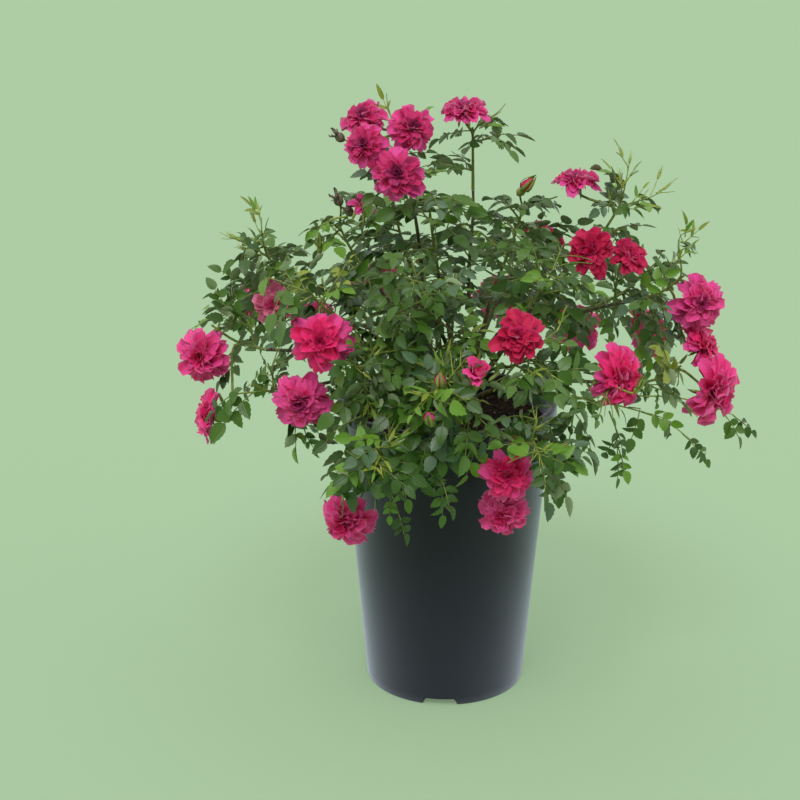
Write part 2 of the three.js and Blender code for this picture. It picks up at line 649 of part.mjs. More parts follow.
// Bloom: petals spread from a green cup, their edge scalloped, the middle a low rosette.
function makeBloom(centre, facing, width) {
  const radius = width / 2;
  const profile = [[0, -0.46], [0.24, -0.32], [1, 0.08], [0.55, 0.36], [0, 0.22]];
  const sides = 10;
  const rosette = turned(profile.map(([r, z]) => [r * radius, z * radius]), sides);
  const upright = new THREE.Quaternion().setFromUnitVectors(up, facing);
  return moveVertices(rosette, (vertex) => {
    const reach = Math.hypot(vertex.x, vertex.y);
    const petal = Math.round((Math.atan2(vertex.y, vertex.x) / (2 * Math.PI) + 0.25) * sides);
    if (reach > 0.9 * radius && petal % 2) {
      vertex.x *= 0.86;
      vertex.y *= 0.86;
      vertex.z += 0.14 * radius;
    }
    return vertex.applyQuaternion(upright).add(centre);
  });
}

function makeBud(centre, facing, width) {
  const upright = new THREE.Quaternion().setFromUnitVectors(up, facing);
  return moveVertices(new THREE.OctahedronGeometry(width / 2), (vertex) => {
    vertex.z *= 1.5;
    return vertex.applyQuaternion(upright).add(centre);
  });
}

function facingOf(flower) {
  const turn = THREE.MathUtils.degToRad(flower.turn);
  const tilt = THREE.MathUtils.degToRad(flower.tilt);
  return new THREE.Vector3(Math.cos(turn) * Math.cos(tilt), Math.sin(turn) * Math.cos(tilt), Math.sin(tilt));
}

// A flower stalk leaves the mass's stem where the way to the flower is clear, and ends inside the flower.
function stalkCurve(stemOfMass, flower) {
  const facing = facingOf(flower);
  const end = new THREE.Vector3(...flower.at).addScaledVector(facing, -0.15 * flower.width);
  const choices = [0.25, 0.4, 0.55, 0.7, 0.85].map((along) => {
    const root = stemOfMass.getPoint(along);
    const span = end.distanceTo(root);
    const bend = root.clone().addScaledVector(stemOfMass.getTangent(along), 0.3 * span);
    const curve = bentLine([root, bend, end.clone().addScaledVector(facing, -0.4 * span), end], 2);
    return { curve, isClear: samplesOf(curve, 12).every((point) => clearOfLimbs(point, 2)), span };
  });
  const clear = choices.filter((choice) => choice.isClear);
  const shorter = (best, choice) => (choice.span < best.span ? choice : best);
  return (clear.length ? clear : choices).reduce(shorter).curve;
}

function growMass(mass, massIndex) {
  const sprout = mass.sprout ?? massIndex;
  const stemOfMass = massStem(mass);
  const stemTaper = straightTaper(twigSize.stemBase, twigSize.stemTip);
  const pieces = [taperedLimb(stemOfMass, stemTaper, twigSize.sides)];
  const taken = { points: [], blades: [], twigs: [stemOfMass] };
  const stalks = [];
  for (const flower of flowers) {
    const place = new THREE.Vector3(...flower.at);
    if (ownerOf(place) !== mass) {
      continue;
    }
    const isShoot = flower.kind === 'shoot';
    const stalk = stalkCurve(stemOfMass, flower);
    const stalkTaper = straightTaper(twigSize.rootRadius, isShoot ? 0 : twigSize.tipRadius);
    pieces.push(taperedLimb(stalk, stalkTaper, twigSize.sides));
    stalks.push(stalk);
    taken.twigs.push(stalk);
    if (flower.kind === 'bloom') {
      const facing = facingOf(flower);
      pieces.push(makeBloom(place, facing, flower.width));
      const before = place.clone().addScaledVector(facing, 0.45 * flower.width);
      taken.points.push({ at: place, room: 0.58 * flower.width }, { at: before, room: 0.5 * flower.width });
    }
    if (flower.kind === 'bud') {
      pieces.push(makeBud(place, facingOf(flower), flower.width));
      taken.points.push({ at: place, room: 0.9 * flower.width });
    }
  }
  const twigCount = Math.round(growth.twigs * (mass.fullness ?? 1) * (mass.reach / 34) ** 2);
  for (let i = 0; i < twigCount; i++) {
    const random = randomFrom(growth.seed + sprout * 1013 + i * 37);
    const along = 0.08 + (0.9 * (i + 0.5)) / twigCount;
    const root = stemOfMass.getPoint(along);
    const heading = stemOfMass.getTangent(along);
    const side = sideways(heading, sprout + i * goldenAngle);
    const spreadAngle = twigWay.angle + twigWay.stray * random() + twigWay.lowerStray * (1 - along);
    const spread = THREE.MathUtils.degToRad(spreadAngle);
    const aim = heading.multiplyScalar(Math.cos(spread)).addScaledVector(side, Math.sin(spread));
    aim.addScaledVector(up, twigWay.lift).normalize();
    const fullLength = mass.reach * (twigWay.length + twigWay.lengthStray * random());
    const curve = [1, 0.75, 0.5]
      .map((share) => twigLine(root, aim, fullLength * share))
      .find((candidate) => samplesOf(candidate, 6).every((point) => isFree(mass, point, twigSpace))
        && !taken.blades.some((blade) => linesPierce(candidate.lines, blade)));
    if (!curve) {
      continue;
    }
    const leaves = leavesOnTwig(mass, curve, growth.leafPlaces, random, taken, growth.fewestLeaves);
    if (leaves.length) {
      taken.twigs.push(curve);
      const last = leaves.find((leaf) => leaf.isLast);
      const bareTaper = straightTaper(twigSize.rootRadius, 0);
      pieces.push(last ? makeTwig(curve, last.frame) : taperedLimb(curve, bareTaper, twigSize.sides));
      pieces.push(...leaves.filter((leaf) => leaf !== last).map((leaf) => makeLeaf(leaf.frame)));
    }
  }
  stalks.forEach((stalk, i) => {
    const random = randomFrom(growth.seed + sprout * 1013 + 701 + i * 37);
    const leaves = leavesOnTwig(mass, stalk, growth.stalkLeafPlaces, random, taken, 1);
    pieces.push(...leaves.map((leaf) => makeLeaf(leaf.frame)));
  });
  return outerShell(joinedCleanly(pieces));
}

addPart('pot', makePot(), 0x1c2325, 0.35);
addPart('soil', makeSoil(), 0x1e1610, 0.95);
addPart('stem', taperedLimb(stemCurve(), stemRadiusAt, stem.sides), 0x4a3a28, 0.8);
for (const mass of masses) {
  addPart(`bough_${mass.name}`, growBough(mass), 0x4d4a2c, 0.7);
}
noteLimbPoints();
masses.forEach((mass, i) => addPart(`foliage_${mass.name}`, growMass(mass, i), 0x2f5a2a, 0.6));

export default rosebush;
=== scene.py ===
import math
import random
import bpy
import bmesh
import numpy as np
from mathutils import Matrix, Vector
from mathutils.geometry import intersect_ray_tri


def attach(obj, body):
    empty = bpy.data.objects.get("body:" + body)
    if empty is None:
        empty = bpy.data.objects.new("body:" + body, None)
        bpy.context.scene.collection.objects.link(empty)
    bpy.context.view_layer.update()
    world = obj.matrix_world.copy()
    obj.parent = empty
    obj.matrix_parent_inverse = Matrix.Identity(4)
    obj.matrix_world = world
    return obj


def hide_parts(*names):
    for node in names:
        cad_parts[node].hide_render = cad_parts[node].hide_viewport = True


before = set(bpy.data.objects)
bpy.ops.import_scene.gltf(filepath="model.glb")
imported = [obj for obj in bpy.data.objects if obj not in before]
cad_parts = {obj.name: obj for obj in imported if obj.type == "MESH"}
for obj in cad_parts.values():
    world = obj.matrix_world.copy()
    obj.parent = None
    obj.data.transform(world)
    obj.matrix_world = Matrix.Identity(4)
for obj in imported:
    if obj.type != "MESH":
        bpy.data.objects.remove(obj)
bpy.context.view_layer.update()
mm = 0.001
upward = np.array([0.0, 0.0, 1.0])
goldenAngle = math.radians(137.5)


# Colours are sRGB hex, turned to linear here
def linear(hexText):
    channels = [int(hexText[i:i + 2], 16) / 255 for i in (1, 3, 5)]
    return [c / 12.92 if c <= 0.04045 else ((c + 0.055) / 1.055) ** 2.4 for c in channels] + [1.0]


# Adds one node to a shader or geometry tree; sockets given as inputs are linked, other values are set
def addNode(tree, kind, inputs=None, **settings):
    node = tree.nodes.new(kind)
    for name, value in settings.items():
        setattr(node, name, value)
    for name, value in (inputs or {}).items():
        socket = node.inputs[name]
        if isinstance(value, bpy.types.NodeSocket):
            tree.links.new(value, socket)
        else:
            socket.default_value = value
    return node


def calculate(tree, operation, *values):
    return addNode(tree, "ShaderNodeMath", dict(enumerate(values)), operation=operation).outputs[0]


def mapRange(tree, value, toMin, toMax, fromMin=0.0, fromMax=1.0):
    return addNode(tree, "ShaderNodeMapRange", {
        "Value": value, "From Min": fromMin, "From Max": fromMax, "To Min": toMin, "To Max": toMax,
    }).outputs[0]


# Materials


def newMaterial(name):
    material = bpy.data.materials.new(name)
    material.use_nodes = True
    material.node_tree.nodes.clear()
    return material, material.node_tree


def finishMaterial(tree, values):
    skin = addNode(tree, "ShaderNodeBsdfPrincipled", values)
    addNode(tree, "ShaderNodeOutputMaterial", {"Surface": skin.outputs[0]})


def placeOn(tree, kind):
    return addNode(tree, "ShaderNodeTexCoord").outputs[kind]


def stretch(tree, place, scale):
    return addNode(tree, "ShaderNodeMapping", {"Vector": place, "Scale": scale}).outputs[0]


def noise(tree, place, scale, detail, roughness=0.5):
    return addNode(tree, "ShaderNodeTexNoise", {
        "Vector": place, "Scale": scale, "Detail": detail, "Roughness": roughness}).outputs["Fac"]


def bands(tree, place, scale, distortion, detail):
    return addNode(tree, "ShaderNodeTexWave", {
        "Vector": place, "Scale": scale, "Distortion": distortion, "Detail": detail,
    }, wave_type="BANDS", bands_direction="X").outputs["Fac"]


# Relief whose depth is given in millimetres
def relief(tree, height, strength, depth):
    return addNode(tree, "ShaderNodeBump", {
        "Height": height, "Strength": strength, "Distance": depth * mm}).outputs[0]


# Goes from one colour to the other as a value goes from the first mark to the second
def twoColours(tree, value, colours, marks):
    ramp = addNode(tree, "ShaderNodeValToRGB", {"Fac": value})
    for i in range(2):
        ramp.color_ramp.elements[i].position = marks[i]
        ramp.color_ramp.elements[i].color = linear(colours[i])
    return ramp.outputs[0]


veinLook = {
    "scale": 3.0, "stray": 0.6, "lean": -0.55, "share": 0.35, "midrib": 0.05, "strength": 0.4, "depth": 0.3,
}


# A rose leaflet: waxy green skin over cells, so it is glossy enough to catch a soft grey-blue sheen.
# The base colour is plain; side veins that lean forward from the midrib, about 1.3 mm apart, show in the
# relief and a little in the roughness.
def makeLeafMaterial(name, colour, roughness):
    material, tree = newMaterial(name)
    parts = addNode(tree, "ShaderNodeSeparateXYZ", {"Vector": placeOn(tree, "UV")})
    side = calculate(tree, "ABSOLUTE", calculate(tree, "SUBTRACT", parts.outputs["Y"], 0.5))
    lean = calculate(tree, "MULTIPLY_ADD", side, veinLook["lean"], parts.outputs["X"])
    leaned = addNode(tree, "ShaderNodeCombineXYZ", {"X": lean}).outputs[0]
    ribs = bands(tree, leaned, veinLook["scale"], veinLook["stray"], 1.0)
    midrib = mapRange(tree, side, 0.0, 1.0, 0.0, veinLook["midrib"])
    height = calculate(tree, "MULTIPLY_ADD", ribs, veinLook["share"], midrib)
    finishMaterial(tree, {
        "Base Color": linear(colour), "IOR": 1.5,
        "Roughness": mapRange(tree, ribs, roughness - 0.05, roughness + 0.08),
        "Normal": relief(tree, height, veinLook["strength"], veinLook["depth"]),
    })
    return material


# A petal: velvety, with cells like tiny cones that scatter light, and faint ripples about 1 mm apart.
def makePetalMaterial(name, colour):
    material, tree = newMaterial(name)
    ribs = bands(tree, placeOn(tree, "UV"), 5.0, 2.5, 2.0)
    finishMaterial(tree, {
        "Base Color": linear(colour), "Roughness": 0.6, "IOR": 1.35, "Normal": relief(tree, ribs, 0.3, 0.2),
        "Sheen Weight": 0.12, "Sheen Roughness": 0.4, "Sheen Tint": linear("#FF8FBE"),
        "Subsurface Weight": 0.25, "Subsurface Scale": 1.2 * mm, "Subsurface Radius": (1.0, 0.25, 0.4),
    })
    return material


# Green bark and rind: smooth, waxy and faintly streaked along the limb, with streaks 1 to 2 mm across.
def makeRindMaterial(name, lowColour, highColour, roughness, streak, depth):
    material, tree = newMaterial(name)
    across = 1 / (streak * mm)
    streaks = noise(tree, stretch(tree, placeOn(tree, "Object"), (across, across, 0.25 * across)), 1.0, 4.0)
    finishMaterial(tree, {
        "Base Color": twoColours(tree, streaks, (lowColour, highColour), (0.35, 0.68)),
        "Roughness": roughness, "IOR": 1.45, "Normal": relief(tree, streaks, 0.5, depth),
    })
    return material


# Injection-moulded polypropylene, thin and blue-black: satin skin with fine moulding grain and faint scuffs,
# a broad grey sheen towards its sides, and a base colour that turns lighter in blotches towards the bottom.
def makePotMaterial(name, lowColour, highColour):
    material, tree = newMaterial(name)
    place = placeOn(tree, "Object")
    grain = noise(tree, place, 1 / (1.6 * mm), 3.0)
    scuffs = noise(tree, stretch(tree, place, (55, 55, 16)), 1.0, 5.0)
    height = addNode(tree, "ShaderNodeSeparateXYZ", {"Vector": place}).outputs["Z"]
    # Base colour turns lighter in blotches towards the bottom, fading out 150 mm up
    lowBlotches = calculate(tree, "MULTIPLY", mapRange(tree, height, 1.0, 0.0, 0.0, 0.15), scuffs)
    shade = addNode(tree, "ShaderNodeMix", {
        "Factor": lowBlotches, "A": linear(lowColour), "B": linear(highColour)}, data_type="RGBA")
    finishMaterial(tree, {
        "Base Color": shade.outputs["Result"], "Roughness": mapRange(tree, scuffs, 0.3, 0.42, 0.3, 0.7),
        "IOR": 1.3, "Normal": relief(tree, grain, 0.12, 0.06),
        "Sheen Weight": 1.0, "Sheen Roughness": 0.48, "Sheen Tint": linear("#DEE2FF"),
    })
    return material


# Moist peat and milled bark: nearly black, crumbly and dull, with rust-brown fibres. Perlite is white.
def makeCrumbMaterial(name, lowColour, highColour, grainSize, roughness):
    material, tree = newMaterial(name)
    crumbs = noise(tree, placeOn(tree, "Object"), 1 / (grainSize * mm), 6.0, 0.7)
    finishMaterial(tree, {
        "Base Color": twoColours(tree, crumbs, (lowColour, highColour), (0.4, 0.7)),
        "Roughness": roughness, "IOR": 1.4, "Normal": relief(tree, crumbs, 0.9, 0.8),
    })
    return material


leafTints = {  # how many leaves in a hundred take each tint, its colour and its roughness
    "leafDeep": (33, "#365818", 0.37),
    "leafGreen": (35, "#486E1E", 0.36),
    "leafBright": (18, "#628E22", 0.44),
    "leafBluish": (12, "#4E6C48", 0.38),
    "leafYoung": (2, "#83962E", 0.46),
}
petalTints = {
    "petalCrimson": "#FA2C78",
    "petalPink": "#F64C98",
    "petalMagenta": "#EC4C9A",
    "petalRed": "#D02052",
    "petalDeep": "#E4226A",
    "petalHeart": "#B02A66",
    "petalPale": "#FF84AE",
    "petalRose": "#D42C6E",
    "petalUnderside": "#F668A8",
}
rindTints = {  # darker and lighter colour, roughness, width of the streaks and depth of the relief in mm
    "roseBark": ("#34321C", "#626234", 0.55, 1.6, 0.5),
    "greenRind": ("#5B6E2C", "#86963F", 0.45, 2.0, 0.15),
    "calyxRind": ("#6F8436", "#A3AE55", 0.5, 2.0, 0.15),
    "youngRind": ("#86983C", "#B2BC62", 0.5, 2.0, 0.1),
    "spentRind": ("#4C4436", "#857A66", 0.65, 1.2, 0.3),
    "prickle": ("#6B2F22", "#9A5536", 0.45, 1.0, 0.1),
}
crumbTints = {  # darker and lighter colour, size of the grain in mm and roughness
    "moistPeat": ("#100B08", "#3A2A1C", 1.6, 0.95),
    "barkChip": ("#2A1B12", "#6B4A2E", 1.2, 0.9),
    "perlite": ("#A9A596", "#E4E1D6", 0.8, 0.9),
}
leafMaterials = [makeLeafMaterial(name, colour, gloss) for name, (_, colour, gloss) in leafTints.items()]
leafUnderside = makeLeafMaterial("leafUnderside", "#8A9E72", 0.6)
petalMaterials = {name: makePetalMaterial(name, colour) for name, colour in petalTints.items()}
rinds = {name: makeRindMaterial(name, *look) for name, look in rindTints.items()}
crumbMaterials = {name: makeCrumbMaterial(name, *look) for name, look in crumbTints.items()}
potMaterial = makePotMaterial("satinPolypropylene", "#050614", "#181A28")
print("materials made")


# Meshes and pieces


def newPiece(name, mesh):
    piece = bpy.data.objects.new(name, mesh)
    bpy.context.collection.objects.link(piece)
    return piece


def declare(piece, nodes):
    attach(piece, "root")
    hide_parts(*nodes)


def smoothFaces(mesh):
    mesh.polygons.foreach_set("use_smooth", [True] * len(mesh.polygons))


def setAttribute(mesh, name, kind, values, domain="POINT"):
    field = "vector" if kind == "FLOAT_VECTOR" else "value"
    mesh.attributes.new(name, kind, domain).data.foreach_set(field, values)


# A mesh as the modifiers of its piece leave it
def finalMesh(piece):
    depsgraph = bpy.context.evaluated_depsgraph_get()
    return bpy.data.meshes.new_from_object(piece.evaluated_get(depsgraph), depsgraph=depsgraph)


def newTree(name, sockets):
    tree = bpy.data.node_groups.new(name, "GeometryNodeTree")
    tree.interface.new_socket(name="Geometry", in_out="INPUT", socket_type="NodeSocketGeometry")
    tree.interface.new_socket(name="Geometry", in_out="OUTPUT", socket_type="NodeSocketGeometry")
    for label, kind in sockets.items():
        tree.interface.new_socket(name=label, in_out="INPUT", socket_type="NodeSocket" + kind)
    return tree, addNode(tree, "NodeGroupInput").outputs


def attribute(tree, name, kind):
    node = addNode(tree, "GeometryNodeInputNamedAttribute", {"Name": name}, data_type=kind)
    return node.outputs["Attribute"]


def paint(tree, geometry, material, selection=True):
    return addNode(tree, "GeometryNodeSetMaterial", {
        "Geometry": geometry, "Selection": selection, "Material": material}).outputs[0]


# Sets one shape of a collection on every point, and makes real geometry of it
def dealShapes(tree, shapes, points, index, turn, size):
    choice = addNode(tree, "GeometryNodeCollectionInfo", {
        "Collection": shapes, "Separate Children": True, "Reset Children": True}).outputs[0]
    dealt = addNode(tree, "GeometryNodeInstanceOnPoints", {
        "Points": points, "Instance": choice, "Pick Instance": True, "Instance Index": index,
        "Rotation": turn, "Scale": size}).outputs[0]
    return addNode(tree, "GeometryNodeRealizeInstances", {"Geometry": dealt}).outputs[0]


def chance(tree, low, high, seed):
    return addNode(tree, "FunctionNodeRandomValue", {2: low, 3: high, 8: seed}, data_type="FLOAT").outputs[1]


def chanceOfThree(tree, seed):
    return addNode(tree, "FunctionNodeRandomValue", {4: 0, 5: 2, 8: seed}, data_type="INT").outputs[2]


# Runs a geometry tree on a mesh and gives the plain mesh that it makes
def grown(mesh, tree, values):
    carrier = newPiece("carrier", mesh)
    modifier = carrier.modifiers.new("growth", "NODES")
    modifier.node_group = tree
    for item in tree.interface.items_tree:
        if item.item_type == "SOCKET" and item.in_out == "INPUT" and item.name in values:
            modifier[item.identifier] = values[item.name]
    result = finalMesh(carrier)
    carrier.modifiers.clear()
    bpy.data.objects.remove(carrier)
    return result


# Tubes along polylines: every line is a chain of vertices with a radius at each
def makeTubeTree():
    tree, given = newTree("tubesAlongLines", {"Sides": "Int", "Material": "Material"})
    curves = addNode(tree, "GeometryNodeMeshToCurve", {"Mesh": given["Geometry"]})
    ring = addNode(tree, "GeometryNodeCurvePrimitiveCircle", {"Resolution": given["Sides"], "Radius": 1.0})
    tube = addNode(tree, "GeometryNodeCurveToMesh", {
        "Curve": curves.outputs[0], "Profile Curve": ring.outputs[0],
        "Scale": attribute(tree, "radius", "FLOAT"), "Fill Caps": True,
    })
    real = addNode(tree, "GeometryNodeRealizeInstances", {"Geometry": tube.outputs[0]}).outputs[0]
    addNode(tree, "NodeGroupOutput", {"Geometry": paint(tree, real, given["Material"])})
    return tree


tubeTree = makeTubeTree()


def tubeMesh(lines, sides, material):
    points = [p for line in lines for p in line["points"]]
    edges = []
    start = 0
    for line in lines:
        count = len(line["points"])
        edges += [(start + i, start + i + 1) for i in range(count - 1)]
        start += count
    mesh = bpy.data.meshes.new("lines")
    mesh.from_pydata([[c * mm for c in p] for p in points], edges, [])
    setAttribute(mesh, "radius", "FLOAT", [r * mm for line in lines for r in line["radii"]])
    tubes = grown(mesh, tubeTree, {"Sides": sides, "Material": material})
    smoothFaces(tubes)
    return tubes


# Small shapes dealt onto points: every point has a turn, a size, a kind and a tint
def makeDealTree(name, materials, underside):
    tree, given = newTree(name, {"Shapes": "Collection"})
    painted = dealShapes(
        tree, given["Shapes"], given["Geometry"], attribute(tree, "kind", "INT"),
        attribute(tree, "turn", "QUATERNION"), attribute(tree, "size", "FLOAT_VECTOR"))
    tint = attribute(tree, "tint", "INT")
    for index, material in enumerate(materials):
        isTint = addNode(tree, "FunctionNodeCompare", {2: tint, 3: index}, data_type="INT", operation="EQUAL")
        painted = paint(tree, painted, material, isTint.outputs[0])
    painted = paint(tree, painted, underside, attribute(tree, "isUnder", "BOOLEAN"))
    addNode(tree, "NodeGroupOutput", {"Geometry": painted})
    return tree


def pointMesh(points):
    mesh = bpy.data.meshes.new("points")
    mesh.from_pydata([[c * mm for c in p["at"]] for p in points], [], [])
    setAttribute(mesh, "turn", "QUATERNION", [c for p in points for c in p["turn"]])
    setAttribute(mesh, "size", "FLOAT_VECTOR", [c * mm for p in points for c in p["size"]])
    setAttribute(mesh, "kind", "INT", [p["kind"] for p in points])
    setAttribute(mesh, "tint", "INT", [p["tint"] for p in points])
    return mesh


# The turn that lays a shape's own X along one direction and its Z as near as may be to another
def turnTo(along, facing):
    across = np.cross(facing, along)
    across /= np.linalg.norm(across)
    off = np.cross(along, across)
    return Matrix(np.array([along, across, off]).T.tolist()).to_quaternion()


def shapeCollection(name, meshes):
    collection = bpy.data.collections.new(name)
    for i, mesh in enumerate(meshes):
        collection.objects.link(bpy.data.objects.new(f"{name}{i}", mesh))
    return collection


# Growth, in millimetres: limbs, masses, twigs and leaves follow one seeded rule

potSize = {
    "height": 190, "footRadius": 51.6, "topRadius": 67.6, "rimRadius": 70, "rimHeight": 8.5, "wall": 1.8,
    "floorBottom": 5, "floorThickness": 2, "ringWidth": 2.4, "padRadius": 14, "notches": 4,
    "notchWidth": 20, "notchHeight": 4.4, "notchTurn": 3, "drainHoles": 4, "drainRadius": 4.5,
    "drainCircle": 33, "segments": 192,
}
soilSize = {"surface": 175, "crown": 2.5, "lumps": 1.3, "rings": 48, "segments": 120, "clearance": 0.3}
stemSize = {
    "depth": 7, "height": 26, "flareRadius": 9.5, "topRadius": 6, "lean": [2.5, -1.5], "bend": [-0.6, 0.4, 0],
    "steps": 4,
}
caneSize = {"baseRadius": 2.5, "tipRadius": 1.5, "steps": 4, "arch": 0.24}
sideBoughSize = {"baseRadius": 1.8, "tipRadius": 1.4, "steps": 3, "arch": 0.16}
leafSize = {"length": 36, "width": 27, "keel": 1.8, "droop": 3, "widest": 0.46, "shrink": 0.035}
twigSize = {"stemBase": 1.105, "stemTip": 0.72, "rootRadius": 0.8, "tipRadius": 0.45}
growth = {
    "twigs": 4.3, "usualReach": 34, "shares": (1, 0.75, 0.5), "tries": 16,
    "leafPlaces": [0.2, 0.4, 0.6, 0.8, 1], "stalkLeafPlaces": [0.3, 0.6],
    "leafSpacing": 2.6, "limbRoom": 0.9, "clearance": 0.3,
    "seed": 4211, "massStep": 1013, "twigStep": 37, "stalkStart": 701,
}

# How boughs fork, stems rise, and twigs and leaves turn: angles in degrees, the rest as shares
fork = {"outward": 0.62, "forward": 0.78, "endsBefore": 0.62, "firstBend": 0.3, "lastBend": 0.35}
rise = {"forward": 0.6, "upward": 0.7, "reach": 0.6, "firstBend": 0.35, "lastBend": 0.3}
twigWay = {"angle": 42, "stray": 38, "lowerStray": 25, "lift": 0.12, "length": 0.42, "lengthStray": 0.32}
leafWay = {"swing": 42, "swingStray": 40, "endStray": 40, "inward": 0.5, "drop": 0.4, "lift": 0.7}
leafFace = {"upward": 0.5, "outward": 0.9, "stray": 1.1, "sizeLeast": 0.85, "sizeStray": 0.3}
bushMiddle = np.array([0.0, 0.0, 200.0])

# Masses of foliage: name, middle, reach, the limb that bears them and the place along it, how full they
# are, and for some a seed of their own
massRows = [
    ("upper_mid", [-10, -18, 298], 38, "stem", 1.0, 1),
    ("upper_right", [44, 14, 294], 36, "stem", 0.82, 1),
    ("upper_left", [-63, 6, 284], 31, "stem", 0.8, 1),
    ("high_right", [98, 2, 296], 34, "stem", 0.62, 0.7, 31),
    ("low_right", [130, -20, 204], 36, "stem", 0.42, 1),
    ("far_left", [-136, 0, 222], 34, "stem", 0.55, 1),
    ("front_left", [-75, -58, 260], 34, "stem", 0.75, 1),
    ("centre_right", [46, -90, 238], 34, "stem", 0.72, 1.3),
    ("rim_mid", [0, -100, 222], 33, "stem", 0.5, 1.3, 32),
    ("inner_mid", [-4, -44, 230], 34, "stem", 0.85, 1.3),
    ("inner_back", [4, 58, 236], 36, "stem", 0.85, 1),
    ("back_left", [-46, 104, 240], 38, "stem", 0.6, 1),
    ("back_right", [46, 106, 238], 38, "stem", 0.6, 1),
    ("top_left", [-30, -14, 345], 33, "upper_mid", 0.5, 1),
    ("top_mid", [14, 12, 342], 32, "upper_right", 0.5, 0.6),
    ("front_mid", [-16, -64, 268], 36, "upper_mid", 0.3, 1.3),
    ("inner_left", [-50, -76, 222], 35, "front_left", 0.35, 1.3),
    ("front_right", [57, -44, 268], 35, "upper_right", 0.3, 1.3),
    ("high_left", [-106, 14, 264], 31, "upper_left", 0.45, 1),
    ("far_right", [136, 4, 256], 31, "high_right", 0.5, 1),
    ("near_right", [88, -64, 206], 34, "low_right", 0.3, 1.3),
    ("low_left", [-106, -50, 202], 34, "far_left", 0.35, 1),
    ("rim_left", [-38, -106, 184], 34, "rim_mid", 0.5, 1, 33),
    ("rim_right", [42, -104, 190], 35, "rim_mid", 0.55, 1),
    ("back_far_left", [-116, 68, 232], 35, "back_left", 0.4, 1),
    ("back_far_right", [118, 68, 238], 36, "back_right", 0.4, 1, 34),
    ("back_top_left", [-34, 56, 290], 36, "back_left", 0.25, 1),
    ("back_top_right", [50, 60, 268], 35, "back_right", 0.25, 1),
]
massKeys = ("name", "centre", "reach", "from", "at", "fullness", "sprout")
masses = [dict(zip(massKeys, row)) for row in massRows]
for index, mass in enumerate(masses):
    mass["centre"] = np.array(mass["centre"], float)
    mass.setdefault("sprout", index)

# Blooms, buds and bare shoots: kind, place, turn, tilt, width, petal tint and form
# Petal tints are partly the blooms' own colours and partly painted light: the top blooms take the darker rose
# tint as painted shade, and two low blooms in the crown's shadow take a lighter pink as painted light
flowerRows = [
    ("bloom", [-52, -14, 371], -110, 50, 27, "petalRose", "open"),
    ("bloom", [-50, -38, 358], -105, 30, 28, "petalRose", "open"),
    ("bloom", [-22, -28, 367], -75, 30, 30, "petalRose", "open"),
    ("bloom", [-30, -48, 343], -95, 20, 34, "petalRose", "open"),
    ("bloom", [9, 0, 374], -90, 75, 29, "petalRose", "flat"),
    ("bloom", [78, 10, 330], -90, 80, 29, "petalRose", "flat"),
    ("bloom", [86, -26, 292], -110, 20, 30, "petalRed", "cupped"),
    ("bloom", [110, -16, 287], -70, 45, 26, "petalRed", "cupped"),
    ("bloom", [-111, 6, 250], -100, 20, 27, "petalPale", "open"),
    ("bloom", [-74, -82, 251], -90, 15, 38, "petalCrimson", "open"),
    ("bloom", [-86, -78, 212], -95, 0, 37, "petalMagenta", "open"),
    ("bloom", [-155, -12, 220], -112, 5, 38, "petalPink", "open"),
    ("bloom", [-149, -22, 184], 178, 8, 34, "petalCrimson", "cupped"),
    ("bloom", [40, -102, 260], -85, 36, 32, "petalRed", "cupped"),
    ("bloom", [103, -66, 225], -48, 0, 40, "petalCrimson", "open"),
    ("bloom", [157, -4, 255], -72, 10, 37, "petalMagenta", "open"),
    ("bloom", [161, -2, 228], -20, 30, 32, "petalCrimson", "open"),
    ("bloom", [167, -22, 203], -38, -12, 44, "petalPink", "open"),
    ("bloom", [-60, -86, 140], -112, -12, 36, "petalPink", "open"),
    ("bloom", [35, -110, 180], -80, 5, 33, "petalCrimson", "cupped"),
    ("bloom", [33, -98, 150], -105, -12, 31, "petalPink", "open"),
    ("bloom", [-134, 90, 236], 150, 20, 34, "petalPink", "open"),
    ("bloom", [-52, 136, 236], 105, 15, 37, "petalCrimson", "open"),
    ("bloom", [36, 138, 222], 82, -5, 35, "petalPink", "cupped"),
    ("bloom", [140, 92, 212], 35, 10, 35, "petalCrimson", "open"),
    ("bloom", [-36, 76, 322], 110, 45, 32, "petalCrimson", "open"),
    ("bloom", [64, 96, 274], 65, 40, 31, "petalRed", "cupped"),
    ("bloom", [-96, 108, 212], 128, -5, 34, "petalMagenta", "open"),
    ("bloom", [92, 122, 206], 62, -5, 36, "petalCrimson", "open"),
    ("bud", [-9, -124, 217], -100, 40, 9, "petalPink", "showing"),
    ("bud", [-4, -119, 236], -90, 70, 8, "petalPink", "showing"),
    ("bud", [16, -112, 236], -80, 60, 9, "petalPink", "opening"),
    ("bud", [46, 8, 324], -40, 45, 9, "petalCrimson", "showing"),
    ("bud", [-79, -10, 291], -90, 75, 8, "petalPink", "green"),
    ("bud", [-68, -12, 322], -140, 60, 9, "petalHeart", "spent"),
    ("bud", [-53, -16, 318], -70, 60, 10, "petalMagenta", "wilted"),
    ("bud", [10, 96, 272], 90, 60, 9, "petalPink", "showing"),
    ("shoot", [-38, 0, 383], 0, 90, 0, "", "bare"),
    ("shoot", [34, 10, 376], 0, 60, 0, "", "bare"),
    ("shoot", [110, 4, 342], 60, 70, 0, "", "side"),
    ("shoot", [132, 2, 326], 0, 45, 0, "", "side"),
    ("shoot", [146, -2, 300], 0, 20, 0, "", "side"),
    ("shoot", [-118, 10, 308], 120, 60, 0, "", "side"),
    ("shoot", [-134, 10, 292], 170, 30, 0, "", "side"),
]
flowerKeys = ("kind", "at", "turn", "tilt", "width", "tint", "form")
flowers = [dict(zip(flowerKeys, row)) for row in flowerRows]
